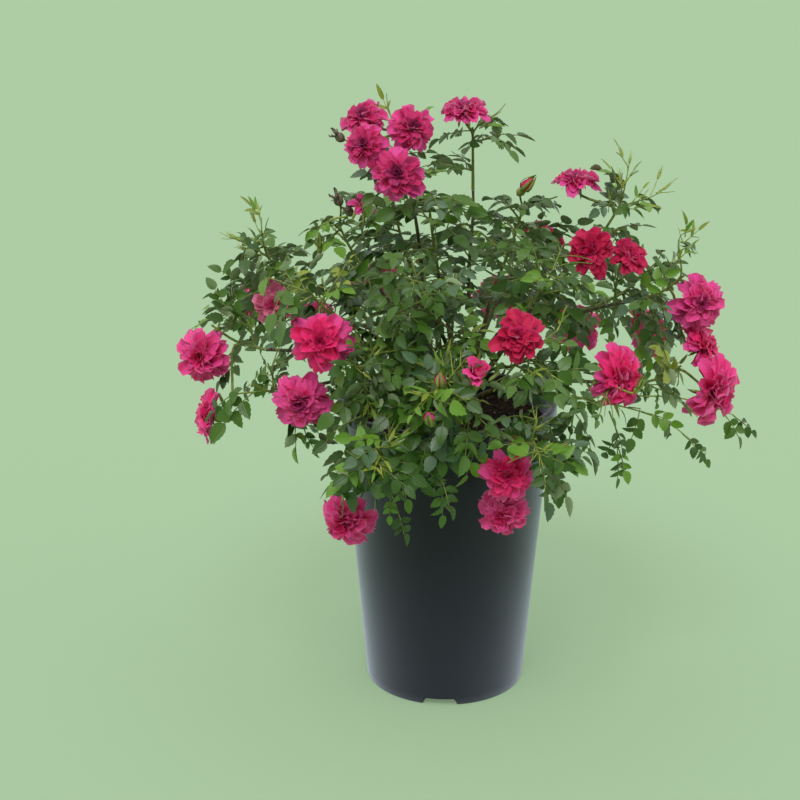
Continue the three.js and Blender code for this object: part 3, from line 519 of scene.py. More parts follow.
for flower in flowers:
    flower["at"] = np.array(flower["at"], float)
    turn, tilt = math.radians(flower["turn"]), math.radians(flower["tilt"])
    flower["facing"] = np.array([
        math.cos(turn) * math.cos(tilt), math.sin(turn) * math.cos(tilt), math.sin(tilt)])


def unit(vector):
    return vector / np.linalg.norm(vector)


# A line bent at even steps, on which limbs, twigs and stalks are built
class BentLine:
    def __init__(self, points):
        self.points = [np.array(p, float) for p in points]

    def getPoint(self, along):
        spans = len(self.points) - 1
        place = min(max(along, 0), 1) * spans
        span = min(int(place), spans - 1)
        return self.points[span] + (self.points[span + 1] - self.points[span]) * (place - span)

    def getTangent(self, along):
        return unit(self.getPoint(min(1, along + 1e-4)) - self.getPoint(max(0, along - 1e-4)))

    def getLength(self):
        marks = [self.getPoint(i / 200) for i in range(201)]
        return sum(np.linalg.norm(b - a) for a, b in zip(marks, marks[1:]))

    def getLines(self):
        return list(zip(self.points, self.points[1:]))


def bezierPoint(corners, t):
    weights = ((1 - t) ** 3, 3 * (1 - t) ** 2 * t, 3 * (1 - t) * t ** 2, t ** 3)
    return sum(w * c for w, c in zip(weights, corners))


def bentLine(corners, steps):
    return BentLine([bezierPoint(corners, i / steps) for i in range(steps + 1)])


def outerRadiusAt(z):
    return potSize["footRadius"] + (potSize["topRadius"] - potSize["footRadius"]) * z / potSize["height"]


def innerRadiusAt(z):
    return outerRadiusAt(z) - potSize["wall"]


def stemCurve():
    level = soilSize["surface"] + soilSize["crown"]
    foot = np.array([0, 0, level - stemSize["depth"]], float)
    top = np.array([*stemSize["lean"], level + stemSize["height"]], float)
    middle = (foot + top) / 2 + np.array(stemSize["bend"])
    return bentLine([foot, middle, middle, top], stemSize["steps"])


def stemRadiusAt(along):
    return stemSize["topRadius"] + (stemSize["flareRadius"] - stemSize["topRadius"]) * (1 - along) ** 2


def straightTaper(base, tip):
    return lambda along: base + (tip - base) * along


limbs = {"stem": {"curve": stemCurve(), "radiusAt": stemRadiusAt}}


# A bough leaves its parent's side upward and outward, then arches over to the mass that it carries
def growBough(mass):
    parent = limbs[mass["from"]]
    sizes = caneSize if mass["from"] == "stem" else sideBoughSize
    joint = parent["curve"].getPoint(mass["at"])
    parentWay = parent["curve"].getTangent(mass["at"])
    chord = mass["centre"] - joint
    outward = unit(chord - parentWay * chord.dot(parentWay))
    isTop = mass["at"] == 1
    leaving = unit(parentWay * fork["forward"] + outward * (0 if isTop else fork["outward"]))
    sideRoom = parent["radiusAt"](mass["at"]) + sizes["baseRadius"] * leaving.dot(parentWay)
    room = growth["clearance"] + (0 if isTop else sideRoom)
    start = joint + (leaving if isTop else outward) * room
    span = np.linalg.norm(mass["centre"] - start)
    arriving = unit(mass["centre"] - start - upward * sizes["arch"] * span)
    end = mass["centre"] - arriving * fork["endsBefore"] * mass["reach"]
    reach = np.linalg.norm(end - start)
    bend = start + leaving * fork["firstBend"] * reach
    lastBend = end - arriving * fork["lastBend"] * reach
    corners = [start, bend, lastBend, end]
    taper = straightTaper(sizes["baseRadius"], sizes["tipRadius"])
    limbs[mass["name"]] = {"curve": bentLine(corners, sizes["steps"]), "radiusAt": taper, "corners": corners}


for mass in masses:
    growBough(mass)
limbPlaces = []
limbRadii = []
for limb in limbs.values():
    steps = math.ceil(limb["curve"].getLength() / 2)
    for i in range(steps + 1):
        limbPlaces.append(limb["curve"].getPoint(i / steps))
        limbRadii.append(limb["radiusAt"](i / steps))
limbPlaces = np.array(limbPlaces)
limbRadii = np.array(limbRadii)


def randomFrom(seed):
    state = [seed]

    def draw():
        state[0] = (state[0] * 48271) % 2147483647
        return state[0] / 2147483647

    draw()
    draw()
    return draw


# Every mass keeps to its own side of the plane between it and each other mass
for mass in masses:
    ways = []
    borders = []
    for other in masses:
        if other is not mass:
            away = other["centre"] - mass["centre"]
            distance = np.linalg.norm(away)
            ways.append(away / distance)
            borders.append((distance ** 2 + mass["reach"] ** 2 - other["reach"] ** 2) / (2 * distance))
    mass["ways"] = np.array(ways)
    mass["borders"] = np.array(borders)


def ownerOf(point):
    return min(masses, key=lambda mass: np.sum((point - mass["centre"]) ** 2) - mass["reach"] ** 2)


def clearOfLimbs(points, room):
    gaps = np.linalg.norm(points[:, None] - limbPlaces[None], axis=2)
    return bool((gaps > limbRadii + room).all())


def clearOfPot(points, room):
    radius = np.hypot(points[:, 0], points[:, 1])
    z = points[:, 2]
    insideWall = (radius < innerRadiusAt(z) - room) & (z > soilSize["surface"] + soilSize["crown"] + room + 1)
    return bool(((z > potSize["height"] + room) | insideWall | (radius > potSize["rimRadius"] + room)).all())


def isFree(mass, points, space):
    points = np.array(points)
    inReach = np.linalg.norm(points - mass["centre"], axis=1) < mass["reach"] * space["stretch"]
    inSpace = (points - mass["centre"]) @ mass["ways"].T < mass["borders"] - space["edge"]
    return bool(inReach.all() and inSpace.all()) and clearOfPot(points, space["pot"]) \
        and clearOfLimbs(points, space["limb"])


# Room that leaves and twigs keep: share of the mass's reach, its borders, the pot and the limbs
leafSpace = {"stretch": 1.42, "edge": 0.6, "pot": 2, "limb": growth["limbRoom"]}
twigSpace = {"stretch": 1.0, "edge": 1.6, "pot": 2, "limb": 2.2}


def sideways(heading, angle):
    helper = upward if abs(heading[2]) < 0.9 else np.array([1.0, 0.0, 0.0])
    across = unit(np.cross(heading, helper))
    over = unit(np.cross(heading, across))
    return across * math.cos(angle) + over * math.sin(angle)


def massStem(mass):
    bough = limbs[mass["name"]]["curve"]
    heading = bough.getTangent(1)
    start = bough.getPoint(1) + heading * growth["clearance"]
    rising = unit(heading * rise["forward"] + upward * rise["upward"])
    end = mass["centre"] + rising * rise["reach"] * mass["reach"]
    span = np.linalg.norm(end - start)
    bend = start + heading * rise["firstBend"] * span
    return bentLine([start, bend, end - rising * rise["lastBend"] * span, end], 2)


def samplesOf(curve, count):
    return np.array([curve.getPoint((i + 1) / count) for i in range(count)])


# A leaf lies in a frame of its own: from its root towards its tip, across, and off its face
class LeafFrame:
    def __init__(self, root, aim, facing, length):
        self.root, self.aim, self.length = root, aim, length
        self.across = unit(np.cross(facing, aim))
        self.off = unit(np.cross(aim, self.across))
        self.scale = length / leafSize["length"]

    def at(self, along, side, lift):
        return self.root + self.aim * along * self.length \
            + self.across * side * leafSize["width"] * self.scale + self.off * lift * self.scale


def leafSamples(leaf):
    keel, droop, widest = leafSize["keel"], leafSize["droop"], leafSize["widest"]
    marks = [(0.35, 0, 0), (0.6, 0, 0), (0.82, 0, -droop / 2), (1, 0, -droop),
             (widest, 0.5, keel), (widest, -0.5, keel), (0.72, 0.25, 0), (0.72, -0.25, 0)]
    return np.array([leaf.at(*mark) for mark in marks])


def bladeOf(leaf):
    neck = leaf.at(0.12, 0, 0)
    left = leaf.at(leafSize["widest"], 0.5, leafSize["keel"])
    right = leaf.at(leafSize["widest"], -0.5, leafSize["keel"])
    keel = leaf.at(leafSize["widest"], 0, 0)
    tip = leaf.at(1, 0, -leafSize["droop"])
    neckV, leftV, rightV, tipV = (Vector(p) for p in (neck, left, right, tip))
    return {
        "faces": [(neck, left, right), (left, tip, right), (neck, left, keel), (keel, left, tip),
                  (neck, keel, right), (keel, tip, right)],
        "middle": keel,
        "halves": [(neckV, leftV, rightV), (leftV, tipV, rightV)],
        "lines": [(neckV, leftV), (leftV, tipV), (tipV, rightV), (rightV, neckV), (neckV, tipV),
                  (leftV, rightV)],
    }


# Distance from many points to one triangle
def distancesToFace(points, face):
    a, b, c = face
    normal = unit(np.cross(b - a, c - a))
    heights = (points - a) @ normal
    flat = points - heights[:, None] * normal
    inside = np.ones(len(points), bool)
    nearest = np.full(len(points), np.inf)
    for p, q in ((a, b), (b, c), (c, a)):
        edge = q - p
        inside &= np.cross(edge, flat - p) @ normal >= 0
        share = np.clip((points - p) @ edge / edge.dot(edge), 0, 1)
        nearest = np.minimum(nearest, np.linalg.norm(points - p - share[:, None] * edge, axis=1))
    return np.where(inside, np.abs(heights), nearest)


def bladeClearOfLimbs(blade):
    near = np.linalg.norm(limbPlaces - blade["middle"], axis=1) <= leafSize["length"]
    if not near.any():
        return True
    places, rooms = limbPlaces[near], limbRadii[near] + growth["limbRoom"]
    return all((distancesToFace(places, face) > rooms).all() for face in blade["faces"])


def linePierces(line, face):
    way = line[1] - line[0]
    hit = intersect_ray_tri(*face, way, line[0], True)
    return hit is not None and (hit - line[0]).length < way.length


def linesPierce(lines, blade):
    return any(linePierces(line, face) for line in lines for face in blade["halves"])


def bladesCross(one, other):
    return linesPierce(one["lines"], other) or linesPierce(other["lines"], one)


def leafOnTwig(curve, along, swing, size, draw):
    root = curve.getPoint(along)
    heading = curve.getTangent(along)
    flat = unit(np.cross(heading, upward))
    aim = heading * math.cos(swing) + flat * math.sin(swing)
    outward = unit(root - bushMiddle)
    aim = aim - outward * leafWay["inward"] * aim.dot(outward)
    aim = unit(aim + upward * (leafWay["lift"] * draw() - leafWay["drop"]))
    stray = np.array([draw() - 0.5, draw() - 0.5, draw() - 0.5])
    facing = upward * leafFace["upward"] + outward * leafFace["outward"] + stray * leafFace["stray"]
    length = leafSize["length"] * size * (leafFace["sizeLeast"] + leafFace["sizeStray"] * draw())
    return LeafFrame(root, aim, facing, length)


def vectorLines(curve):
    return [(Vector(a), Vector(b)) for a, b in curve.getLines()]


def leavesOnTwig(mass, curve, places, draw, taken, fewest, share=1.0):
    leaves, points, blades = [], [], []
    for i, along in enumerate(places):
        isLast = along == 1
        for attempt in range(growth["tries"]):
            luck = draw()
            swing = leafWay["swing"] + leafWay["swingStray"] * luck
            if isLast:
                swing = leafWay["endStray"] * (luck - 0.5)
            turn = math.radians(swing) * (-1 if i % 2 else 1)
            leaf = leafOnTwig(curve, along, turn, share * (1 - leafSize["shrink"] * attempt), draw)
            samples = leafSamples(leaf)
            if not isFree(mass, samples, leafSpace):
                continue
            balls = taken["points"] + points
            if balls:
                centres = np.array([ball[0] for ball in balls])
                rooms = np.array([ball[1] for ball in balls])
                if (np.linalg.norm(samples[:, None] - centres[None], axis=2) <= rooms).any():
                    continue
            blade = bladeOf(leaf)
            if not bladeClearOfLimbs(blade):
                continue
            if any(linesPierce(lines, blade) for twig, lines in taken["twigs"] if twig is not curve):
                continue
            if any(bladesCross(blade, other) for other in taken["blades"] + blades):
                continue
            leaves.append(leaf)
            blades.append(blade)
            points += [(sample, growth["leafSpacing"]) for sample in samples]
            break
    if len(leaves) < fewest:
        return []
    taken["points"] += points
    taken["blades"] += blades
    return leaves


stalkWay = {"places": (0.25, 0.4, 0.55, 0.7, 0.85), "bend": 0.3, "arrival": 0.4, "inside": 0.15, "room": 2}


# A flower stalk leaves the mass's stem where the way to the flower is clear, and ends inside the flower
def stalkCurve(stemOfMass, flower):
    end = flower["at"] - flower["facing"] * stalkWay["inside"] * flower["width"]
    choices = []
    for along in stalkWay["places"]:
        root = stemOfMass.getPoint(along)
        span = np.linalg.norm(end - root)
        bend = root + stemOfMass.getTangent(along) * stalkWay["bend"] * span
        corners = [root, bend, end - flower["facing"] * stalkWay["arrival"] * span, end]
        curve = bentLine(corners, 2)
        isBlocked = not clearOfLimbs(samplesOf(curve, 12), stalkWay["room"])
        choices.append((isBlocked, span, len(choices), curve, corners))
    return min(choices)[3:]


# Balls that leaves keep out of, in widths of the flower: one about it and, for a bloom, one before its face
ballSize = {"about": 0.58, "ahead": 0.45, "before": 0.5, "aboutBud": 0.9}


def bloomBalls(flower):
    middle, width = flower["at"], flower["width"]
    before = middle + flower["facing"] * ballSize["ahead"] * width
    return [(middle, ballSize["about"] * width), (before, ballSize["before"] * width)]


# Finer twigs follow the plain ones by the same rule, shorter and with smaller leaves
plainTwigs = {"lowest": 0.08, "span": 0.9, "length": 1, "leaf": 1, "fewestLeaves": 3}
finerTwigs = {"lowest": 0.04, "span": 0.94, "length": 0.8, "leaf": 0.84, "fewestLeaves": 1}
finerShare = {"full": 0.7, "thin": 0.25}
thinMasses = (
    "high_left", "upper_left", "far_left", "low_left", "high_right", "upper_right", "far_right", "low_right",
    "top_mid", "near_right", "back_top_right",
)


# What grows in a mass: its stem, its stalks with their flowers, and twigs with their leaves
def growMass(mass):
    sprout = mass["sprout"]
    stemOfMass = massStem(mass)
    taken = {"points": [], "blades": [], "twigs": [(stemOfMass, vectorLines(stemOfMass))]}
    found = {"mass": mass, "stem": stemOfMass, "stalks": [], "twigs": [], "leaves": []}
    for flower in flowers:
        if ownerOf(flower["at"]) is not mass:
            continue
        stalk, corners = stalkCurve(stemOfMass, flower)
        found["stalks"].append((stalk, corners, flower))
        taken["twigs"].append((stalk, vectorLines(stalk)))
        if flower["kind"] == "bloom":
            taken["points"] += bloomBalls(flower)
        if flower["kind"] == "bud":
            taken["points"].append((flower["at"], ballSize["aboutBud"] * flower["width"]))

    def drawFrom(start):
        return randomFrom(growth["seed"] + sprout * growth["massStep"] + start)

    def addTwig(i, along, look):
        draw = drawFrom(i * growth["twigStep"])
        root = stemOfMass.getPoint(along)
        heading = stemOfMass.getTangent(along)
        side = sideways(heading, sprout + i * goldenAngle)
        spread = twigWay["angle"] + twigWay["stray"] * draw() + twigWay["lowerStray"] * (1 - along)
        spread = math.radians(spread)
        aim = unit(heading * math.cos(spread) + side * math.sin(spread) + upward * twigWay["lift"])
        fullLength = mass["reach"] * (twigWay["length"] + twigWay["lengthStray"] * draw()) * look["length"]
        for share in growth["shares"]:
            curve = BentLine([root, root + aim * fullLength * share])
            lines = vectorLines(curve)
            isOpen = isFree(mass, samplesOf(curve, 6), twigSpace)
            if isOpen and not any(linesPierce(lines, blade) for blade in taken["blades"]):
                break
        else:
            return
        leaves = leavesOnTwig(
            mass, curve, growth["leafPlaces"], draw, taken, look["fewestLeaves"], look["leaf"])
        if leaves:
            taken["twigs"].append((curve, lines))
            found["twigs"].append(curve)
            found["leaves"] += leaves

    def addTwigs(first, count, look):
        for i in range(count):
            addTwig(first + i, look["lowest"] + look["span"] * (i + 0.5) / count, look)

    twigCount = round(growth["twigs"] * mass["fullness"] * (mass["reach"] / growth["usualReach"]) ** 2)
    addTwigs(0, twigCount, plainTwigs)
    for i, (stalk, _, _) in enumerate(found["stalks"]):
        draw = drawFrom(growth["stalkStart"] + i * growth["twigStep"])
        found["leaves"] += leavesOnTwig(mass, stalk, growth["stalkLeafPlaces"], draw, taken, 1)
    share = finerShare["thin" if mass["name"] in thinMasses else "full"]
    addTwigs(twigCount, round(twigCount * share), finerTwigs)
    return found


grownMasses = [growMass(mass) for mass in masses]
print("growth:", sum(len(found["leaves"]) for found in grownMasses), "leaves on",
      sum(len(found["twigs"]) for found in grownMasses), "twigs")
foliageNodes = ["foliage_" + mass["name"] for mass in masses]
caneNodes = ["stem"] + ["bough_" + mass["name"] for mass in masses]


# Leaves: every leaf of the growth is one compound leaf of folded, toothed leaflets on a thin rachis

leafletShape = {
    "widest": (0.56, 0.96), "teeth": 9, "tooth": 0.07, "notch": -0.049, "slides": (-0.015, 0.02),
    "thickness": 0.02, "spineSteps": 5, "broadForms": 4,
    "forms": [  # fold of the halves, droop of the tip and width; four broad ones, then two narrow ones
        (0.22, 0.08, 0.62), (0.45, 0.18, 0.58), (0.12, 0.28, 0.66), (0.6, 0.06, 0.6),
        (0.35, 0.12, 0.27), (0.25, 0.45, 0.22),
    ],
}


def halfWidth(along, width):
    rising, falling = leafletShape["widest"]
    peak = rising / (rising + falling)
    most = peak ** rising * (1 - peak) ** falling
    return width / 2 * along ** rising * (1 - along) ** falling / most


# A closed blade, one unit long: its upper and lower skins meet in a toothed rim
def leafletMesh(name, fold, droop, width):
    shape = leafletShape
    middle = [i / shape["spineSteps"] for i in range(shape["spineSteps"] + 1)]
    rim = [(i + 1) / (shape["teeth"] + 1) for i in range(shape["teeth"])]
    vertices, places = [], []

    def addVertex(along, side, sink):
        vertices.append((along, side, abs(side) * fold - droop * along ** 2 - sink))
        places.append((along, 0.5 + side / width))
        return len(vertices) - 1

    ends = {0: addVertex(0, 0, 0), 1: addVertex(1, 0, 0)}
    faces, isUnder = [], []
    rims = {}
    for side in (1, -1):
        marks = []
        for i, along in enumerate(rim):
            bulge = 1 + (shape["tooth"] if i % 2 else shape["notch"])
            place = along + shape["slides"][i % 2]
            marks.append(addVertex(place, side * halfWidth(along, width) * bulge, 0))
        rims[side] = [ends[0], *marks, ends[1]]
    for under in (False, True):
        sink = shape["thickness"] if under else 0
        spine = [ends[0], *[addVertex(a, 0, sink) for a in middle[1:-1]], ends[1]]
        for side in (1, -1):
            chain = rims[side]
            i = j = 0
            while i < len(spine) - 1 or j < len(chain) - 1:
                spineNext = vertices[spine[i + 1]][0] if i < len(spine) - 1 else 2
                chainNext = vertices[chain[j + 1]][0] if j < len(chain) - 1 else 2
                if chainNext <= spineNext:
                    face = [spine[i], chain[j], chain[j + 1]]
                    j += 1
                else:
                    face = [spine[i], chain[j], spine[i + 1]]
                    i += 1
                if len(set(face)) == 3:
                    faces.append(face)
                    isUnder.append(under)
    return closedShape(name, vertices, faces, places, isUnder)


def closedShape(name, vertices, faces, places, isUnder):
    mesh = bpy.data.meshes.new(name)
    mesh.from_pydata(vertices, [], faces)
    layer = mesh.uv_layers.new(name="UVMap")
    for loop in mesh.loops:
        layer.data[loop.index].uv = places[loop.vertex_index]
    setAttribute(mesh, "isUnder", "BOOLEAN", isUnder, "FACE")
    shell = bmesh.new()
    shell.from_mesh(mesh)
    bmesh.ops.recalc_face_normals(shell, faces=shell.faces)
    shell.to_mesh(mesh)
    shell.free()
    smoothFaces(mesh)
    skins = {}
    for polygon in mesh.polygons:
        for key in polygon.edge_keys:
            skins.setdefault(key, set()).add(isUnder[polygon.index])
    isRim = [len(skins[tuple(sorted(edge.vertices))]) > 1 for edge in mesh.edges]
    setAttribute(mesh, "sharp_edge", "BOOLEAN", isRim, "EDGE")
    return mesh


leafletShapes = shapeCollection("leaflet", [
    leafletMesh(f"leaflet{i}", *form) for i, form in enumerate(leafletShape["forms"])])
leafTree = makeDealTree("leafletsOnRachises", leafMaterials, leafUnderside)
rachis = {
    "length": 0.64, "pairs": (0.22, 0.43), "leaflet": 0.36, "pairShare": 0.9, "swing": 60, "swingStray": 14,
    "arch": 0.05, "fall": 0.06, "baseRadius": 0.42, "tipRadius": 0.26, "tiltStray": 0.45, "shortest": 17,
    "sink": (0.02, 0.3), "hang": (0, 0.25), "breadth": (0.85, 1.1), "slide": (-0.02, 0.02),
    "pairSize": (0.82, 1.08), "endSize": (0.9, 1.1), "endSwing": (-9, 9),
}


def randomVector(luck, spread):
    return np.array([luck.gauss(0, spread) for _ in range(3)])


# Points along a bent line, with its corners rounded off
def roundedLine(curve, steps):
    points = [curve.getPoint(i / steps) for i in range(steps + 1)]
    for _ in range(2):
        inner = [(a + 2 * b + c) / 4 for a, b, c in zip(points, points[1:], points[2:])]
        points = [points[0], *inner, points[-1]]
    return points


def taperLine(points, base, tip):
    last = len(points) - 1
    return {"points": points, "radii": [base + (tip - base) * i / last for i in range(last + 1)]}


# Lays one compound leaf out in a leaf's frame; gives its leaflets and the line of its rachis
def compoundLeaf(leaf, luck, tint):
    length = leaf.length
    pairs = rachis["pairs"] if length > rachis["shortest"] else rachis["pairs"][1:]

    def along(share):
        arch = rachis["arch"] * math.sin(math.pi * min(1, share / rachis["length"]))
        lift = arch - rachis["fall"] * share ** 2
        return leaf.root + leaf.aim * share * length + leaf.off * lift * length

    leaflets = []

    def addLeaflet(share, swing, size):
        way = leaf.aim * math.cos(swing) + leaf.across * math.sin(swing)
        way = unit(way - leaf.off * luck.uniform(*rachis["sink"]) - upward * luck.uniform(*rachis["hang"]))
        facing = unit(leaf.off + randomVector(luck, rachis["tiltStray"]))
        breadth = size * luck.uniform(*rachis["breadth"])
        leaflets.append({
            "at": along(share), "turn": turnTo(way, facing), "size": (size, breadth, size),
            "kind": luck.randrange(leafletShape["broadForms"]), "tint": tint,
        })

    for share in pairs:
        for side in (1, -1):
            swing = math.radians(rachis["swing"] + luck.uniform(-1, 1) * rachis["swingStray"])
            size = length * rachis["leaflet"] * rachis["pairShare"] * luck.uniform(*rachis["pairSize"])
            addLeaflet(share + luck.uniform(*rachis["slide"]), side * swing, size)
    swing = math.radians(luck.uniform(*rachis["endSwing"]))
    addLeaflet(rachis["length"], swing, length * rachis["leaflet"] * luck.uniform(*rachis["endSize"]))
    points = [along(rachis["length"] * i / 3) for i in range(4)]
    return leaflets, taperLine(points, rachis["baseRadius"], rachis["tipRadius"])


# The soft pieces divide the crown: its back, its front and the two sides
leafGroups = {"leavesFront": [], "leavesLeft": [], "leavesRight": [], "leavesBack": []}
borders = {"back": 40, "front": -35, "frontHalf": 80}


def isBack(place):
    return place[1] > borders["back"]


def groupOf(mass):
    x, y, _ = mass["centre"]
    if isBack(mass["centre"]):
        return "leavesBack"
    if y < borders["front"] and abs(x) < borders["frontHalf"]:
        return "leavesFront"
    return "leavesLeft" if x < 0 else "leavesRight"


# Base colours are dealt out by spray: neighbouring leaves keep a tint until a new one is drawn
sprayLook = {"newTint": 0.45, "seed": 7000}
tintShares = [share for share, _, _ in leafTints.values()]


def drawTint(luck):
    return luck.choices(range(len(tintShares)), tintShares)[0]


twigLines = []
for index, found in enumerate(grownMasses):
    luck = random.Random(sprayLook["seed"] + index)
    twigLines.append(taperLine(roundedLine(found["stem"], 8), twigSize["stemBase"], twigSize["stemTip"]))
    for twig in found["twigs"]:
        points = [twig.getPoint(i / 3) for i in range(4)]
        twigLines.append(taperLine(points, twigSize["rootRadius"], twigSize["tipRadius"]))
    sprayTint = drawTint(luck)
    for leaf in found["leaves"]:
        if luck.random() < sprayLook["newTint"]:
            sprayTint = drawTint(luck)
        leaflets, line = compoundLeaf(leaf, luck, sprayTint)
        leafGroups[groupOf(found["mass"])] += leaflets
        twigLines.append(line)


# Young growth that the plain twigs don't carry, kept within reach of its own mass: threads with narrow
# leaflets or long green buds, small leaves that fill the crown over the rim, and a few hanging sprays

youngLook = {
    "threads": {"rim_mid": 5, "rim_left": 4, "rim_right": 4, "inner_left": 2, "inner_mid": 1,
                "centre_right": 2, "near_right": 1, "high_right": 1, "top_mid": 1},
    "shootThreads": {"side": 7, "bare": 2}, "barePart": 0.5, "lowest": 0.15,
    "length": (7, 15), "spread": (20, 55), "rise": (0, 0.5), "radii": (0.45, 0.2),
    "ends": ("leaflet", "leaflet", "bud", "bare", "bare"), "leaflet": (6, 12), "leafletSwing": 0.7,
    "tints": (2, 4, 4), "bud": (2.2, 3.0), "seed": 9100,
}
fillLook = {
    "length": (22, 34), "nearest": 4, "furthest": 28, "rootShare": 0.6, "outward": 0.5, "drop": (0, 0.6),
    "facing": (0.7, 0.6, 0.5), "tints": (0, 0, 1, 1, 2, 3), "seed": 77,
}
fillPatches = [  # middle, radius and count of small leaves that fill thin places in the crown
    ([0, -100, 212], 32, 30), ([-38, -104, 182], 26, 10), ([42, -102, 192], 30, 18),
    ([-50, -76, 214], 32, 16), ([-4, -44, 214], 28, 12), ([46, -88, 226], 26, 8),
    ([-46, -32, 252], 26, 20), ([-84, -30, 240], 22, 10),
    ([85, 40, 230], 20, 14), ([132, 30, 229], 20, 16), ([-128, 40, 248], 18, 10), ([-48, 60, 254], 20, 12),
    ([61, 42, 284], 16, 12), ([-38, -78, 250], 22, 16), ([-28, -60, 236], 22, 12), ([138, 74, 214], 18, 16),
    ([86, 98, 210], 20, 16), ([-128, 70, 238], 18, 14), ([-50, 116, 238], 16, 8),
]
hangLook = {
    "start": 0.06, "facing": [0.2, -1.0, 0.5], "stemRadii": (0.6, 0.3), "places": (0.35, 0.6, 0.82, 1.0),
    "sideStray": (-0.6, 0.6), "sideways": 0.8, "drop": 0.3, "length": (20, 30),
    "stemFacing": [0.2, -0.8, 0.7], "tints": (0, 1, 2), "seed": 31,
}
hangingLeaves = [  # root, tip and tint of leaves that hang clear of the crown
    ([61, -80, 200], [69, -86, 150], 0),
    ([118, -40, 198], [110, -52, 172], 1),
    ([-138, 2, 246], [-151, 4, 268], 1),
    ([-128, -4, 240], [-146, -6, 256], 0),
    ([-118, -8, 262], [-146, 2, 246], 1),
    ([118, -4, 262], [142, -6, 280], 2),
    ([112, -8, 252], [136, -12, 226], 0),
    ([-34, -98, 198], [-74, -98, 182], 0),
    ([-50, -98, 190], [-56, -106, 152], 0),
    ([-10, -108, 200], [-22, -112, 166], 1),
    ([18, -110, 202], [8, -114, 168], 2),
]
hangingStems = [  # group, places along thin stems with small leaves
    ("leavesRight", [[92, -44, 204], [118, -38, 196], [138, -32, 186], [154, -28, 172]]),
    ("leavesRight", [[104, -40, 206], [140, -30, 203], [164, -24, 195], [178, -20, 188]]),
    ("leavesRight", [[98, -52, 200], [103, -52, 188], [104, -52, 174]]),
    ("leavesFront", [[-30, -92, 206], [-38, -100, 190], [-35, -101, 172], [-29, -101, 156]]),
    ("leavesFront", [[-50, -88, 204], [-58, -94, 182], [-60, -96, 162]]),
    ("leavesFront", [[4, -100, 206], [-4, -108, 186], [-3, -109, 174]]),
]
sideStalk = {"below": 12, "bend": 0.2, "arrival": 0.5, "inside": 3, "radii": (0.75, 0.6)}
sideBuds = [  # place, facing, size, shape, tint and petal tint of buds and hips that stand beside the blooms
    ([-67, -20, 361], [-0.7, -0.2, 0.6], 5.2, 4, 1, "petalPink"),
    ([-61, -14, 315], [-0.3, -0.5, 0.8], 5.0, 4, 1, "petalPink"),
    ([38, -114, 200], [0.1, -0.6, 0.8], 5.0, 1, 0, "petalHeart"),
    ([112, -74, 222], [0.4, -0.2, 0.9], 4.6, 3, 0, "petalPink"),
]
threadLines = []
youngBuds = []
blooms = [flower for flower in flowers if flower["kind"] == "bloom"]
openBalls = [ball for bloom in blooms for ball in bloomBalls(bloom)]


def clearOfBlooms(points):
    return all(np.linalg.norm(point - centre) > room for point in points for centre, room in openBalls)


def addThread(group, root, heading, side, luck):
    spread = math.radians(luck.uniform(*youngLook["spread"]))
    aim = unit(heading * math.cos(spread) + side * math.sin(spread))
    length = luck.uniform(*youngLook["length"])
    middle = root + aim * 0.5 * length
    last = unit(aim + upward * luck.uniform(*youngLook["rise"]))
    end = middle + last * 0.5 * length
    if not (clearOfBlooms([end]) and clearOfPot(np.array([middle, end]), 1)):
        return
    threadLines.append(taperLine([root, (root + middle) / 2, middle, end], *youngLook["radii"]))
    kind = luck.choice(youngLook["ends"])
    facing = unit(np.array([luck.gauss(0, 0.5), luck.gauss(0, 0.5) - 0.4, 1.0]))
    if kind == "bud":
        youngBuds.append((end, last, luck.uniform(*youngLook["bud"]), 5, 2, "petalPink"))
    if kind == "leaflet":
        for place, sign in ((end, 0), (middle, 1), (middle, -1)):
            swing = sign * youngLook["leafletSwing"]
            across = unit(np.cross(facing, last))
            way = unit(last * math.cos(swing) + across * math.sin(swing))
            size = luck.uniform(*youngLook["leaflet"])
            leafGroups[group].append({
                "at": place, "turn": turnTo(way, facing), "size": (size, size, size),
                "kind": leafletShape["broadForms"] + luck.randrange(2),
                "tint": luck.choice(youngLook["tints"]),
            })


def addThreads(group, curve, count, luck, upTo=1.0):
    lowest = youngLook["lowest"]
    for i in range(count):
        along = lowest + (upTo - lowest) * (i + luck.random()) / count
        root, heading = curve.getPoint(along), curve.getTangent(min(along, 1))
        addThread(group, root, heading, sideways(heading, i * goldenAngle + luck.uniform(0, 2)), luck)


def addLeaf(group, start, root, tip, facing, tint, luck):
    leaf = LeafFrame(root, unit(tip - root), facing, np.linalg.norm(tip - root))
    leaflets, line = compoundLeaf(leaf, luck, tint)
    leafGroups[group] += leaflets
    line["points"] = [start, *line["points"]]
    line["radii"] = [line["radii"][0], *line["radii"]]
    twigLines.append(line)


for index, found in enumerate(grownMasses):
    mass = found["mass"]
    luck = random.Random(youngLook["seed"] + index)
    group = groupOf(mass)
    for stalk, _, flower in found["stalks"]:
        if flower["kind"] == "shoot":
            upTo = youngLook["barePart"] if flower["form"] == "bare" else 1.0
            addThreads(group, stalk, youngLook["shootThreads"][flower["form"]], luck, upTo)
    for twig in found["twigs"]:
        addThreads(group, twig, youngLook["threads"].get(mass["name"], 0), luck)

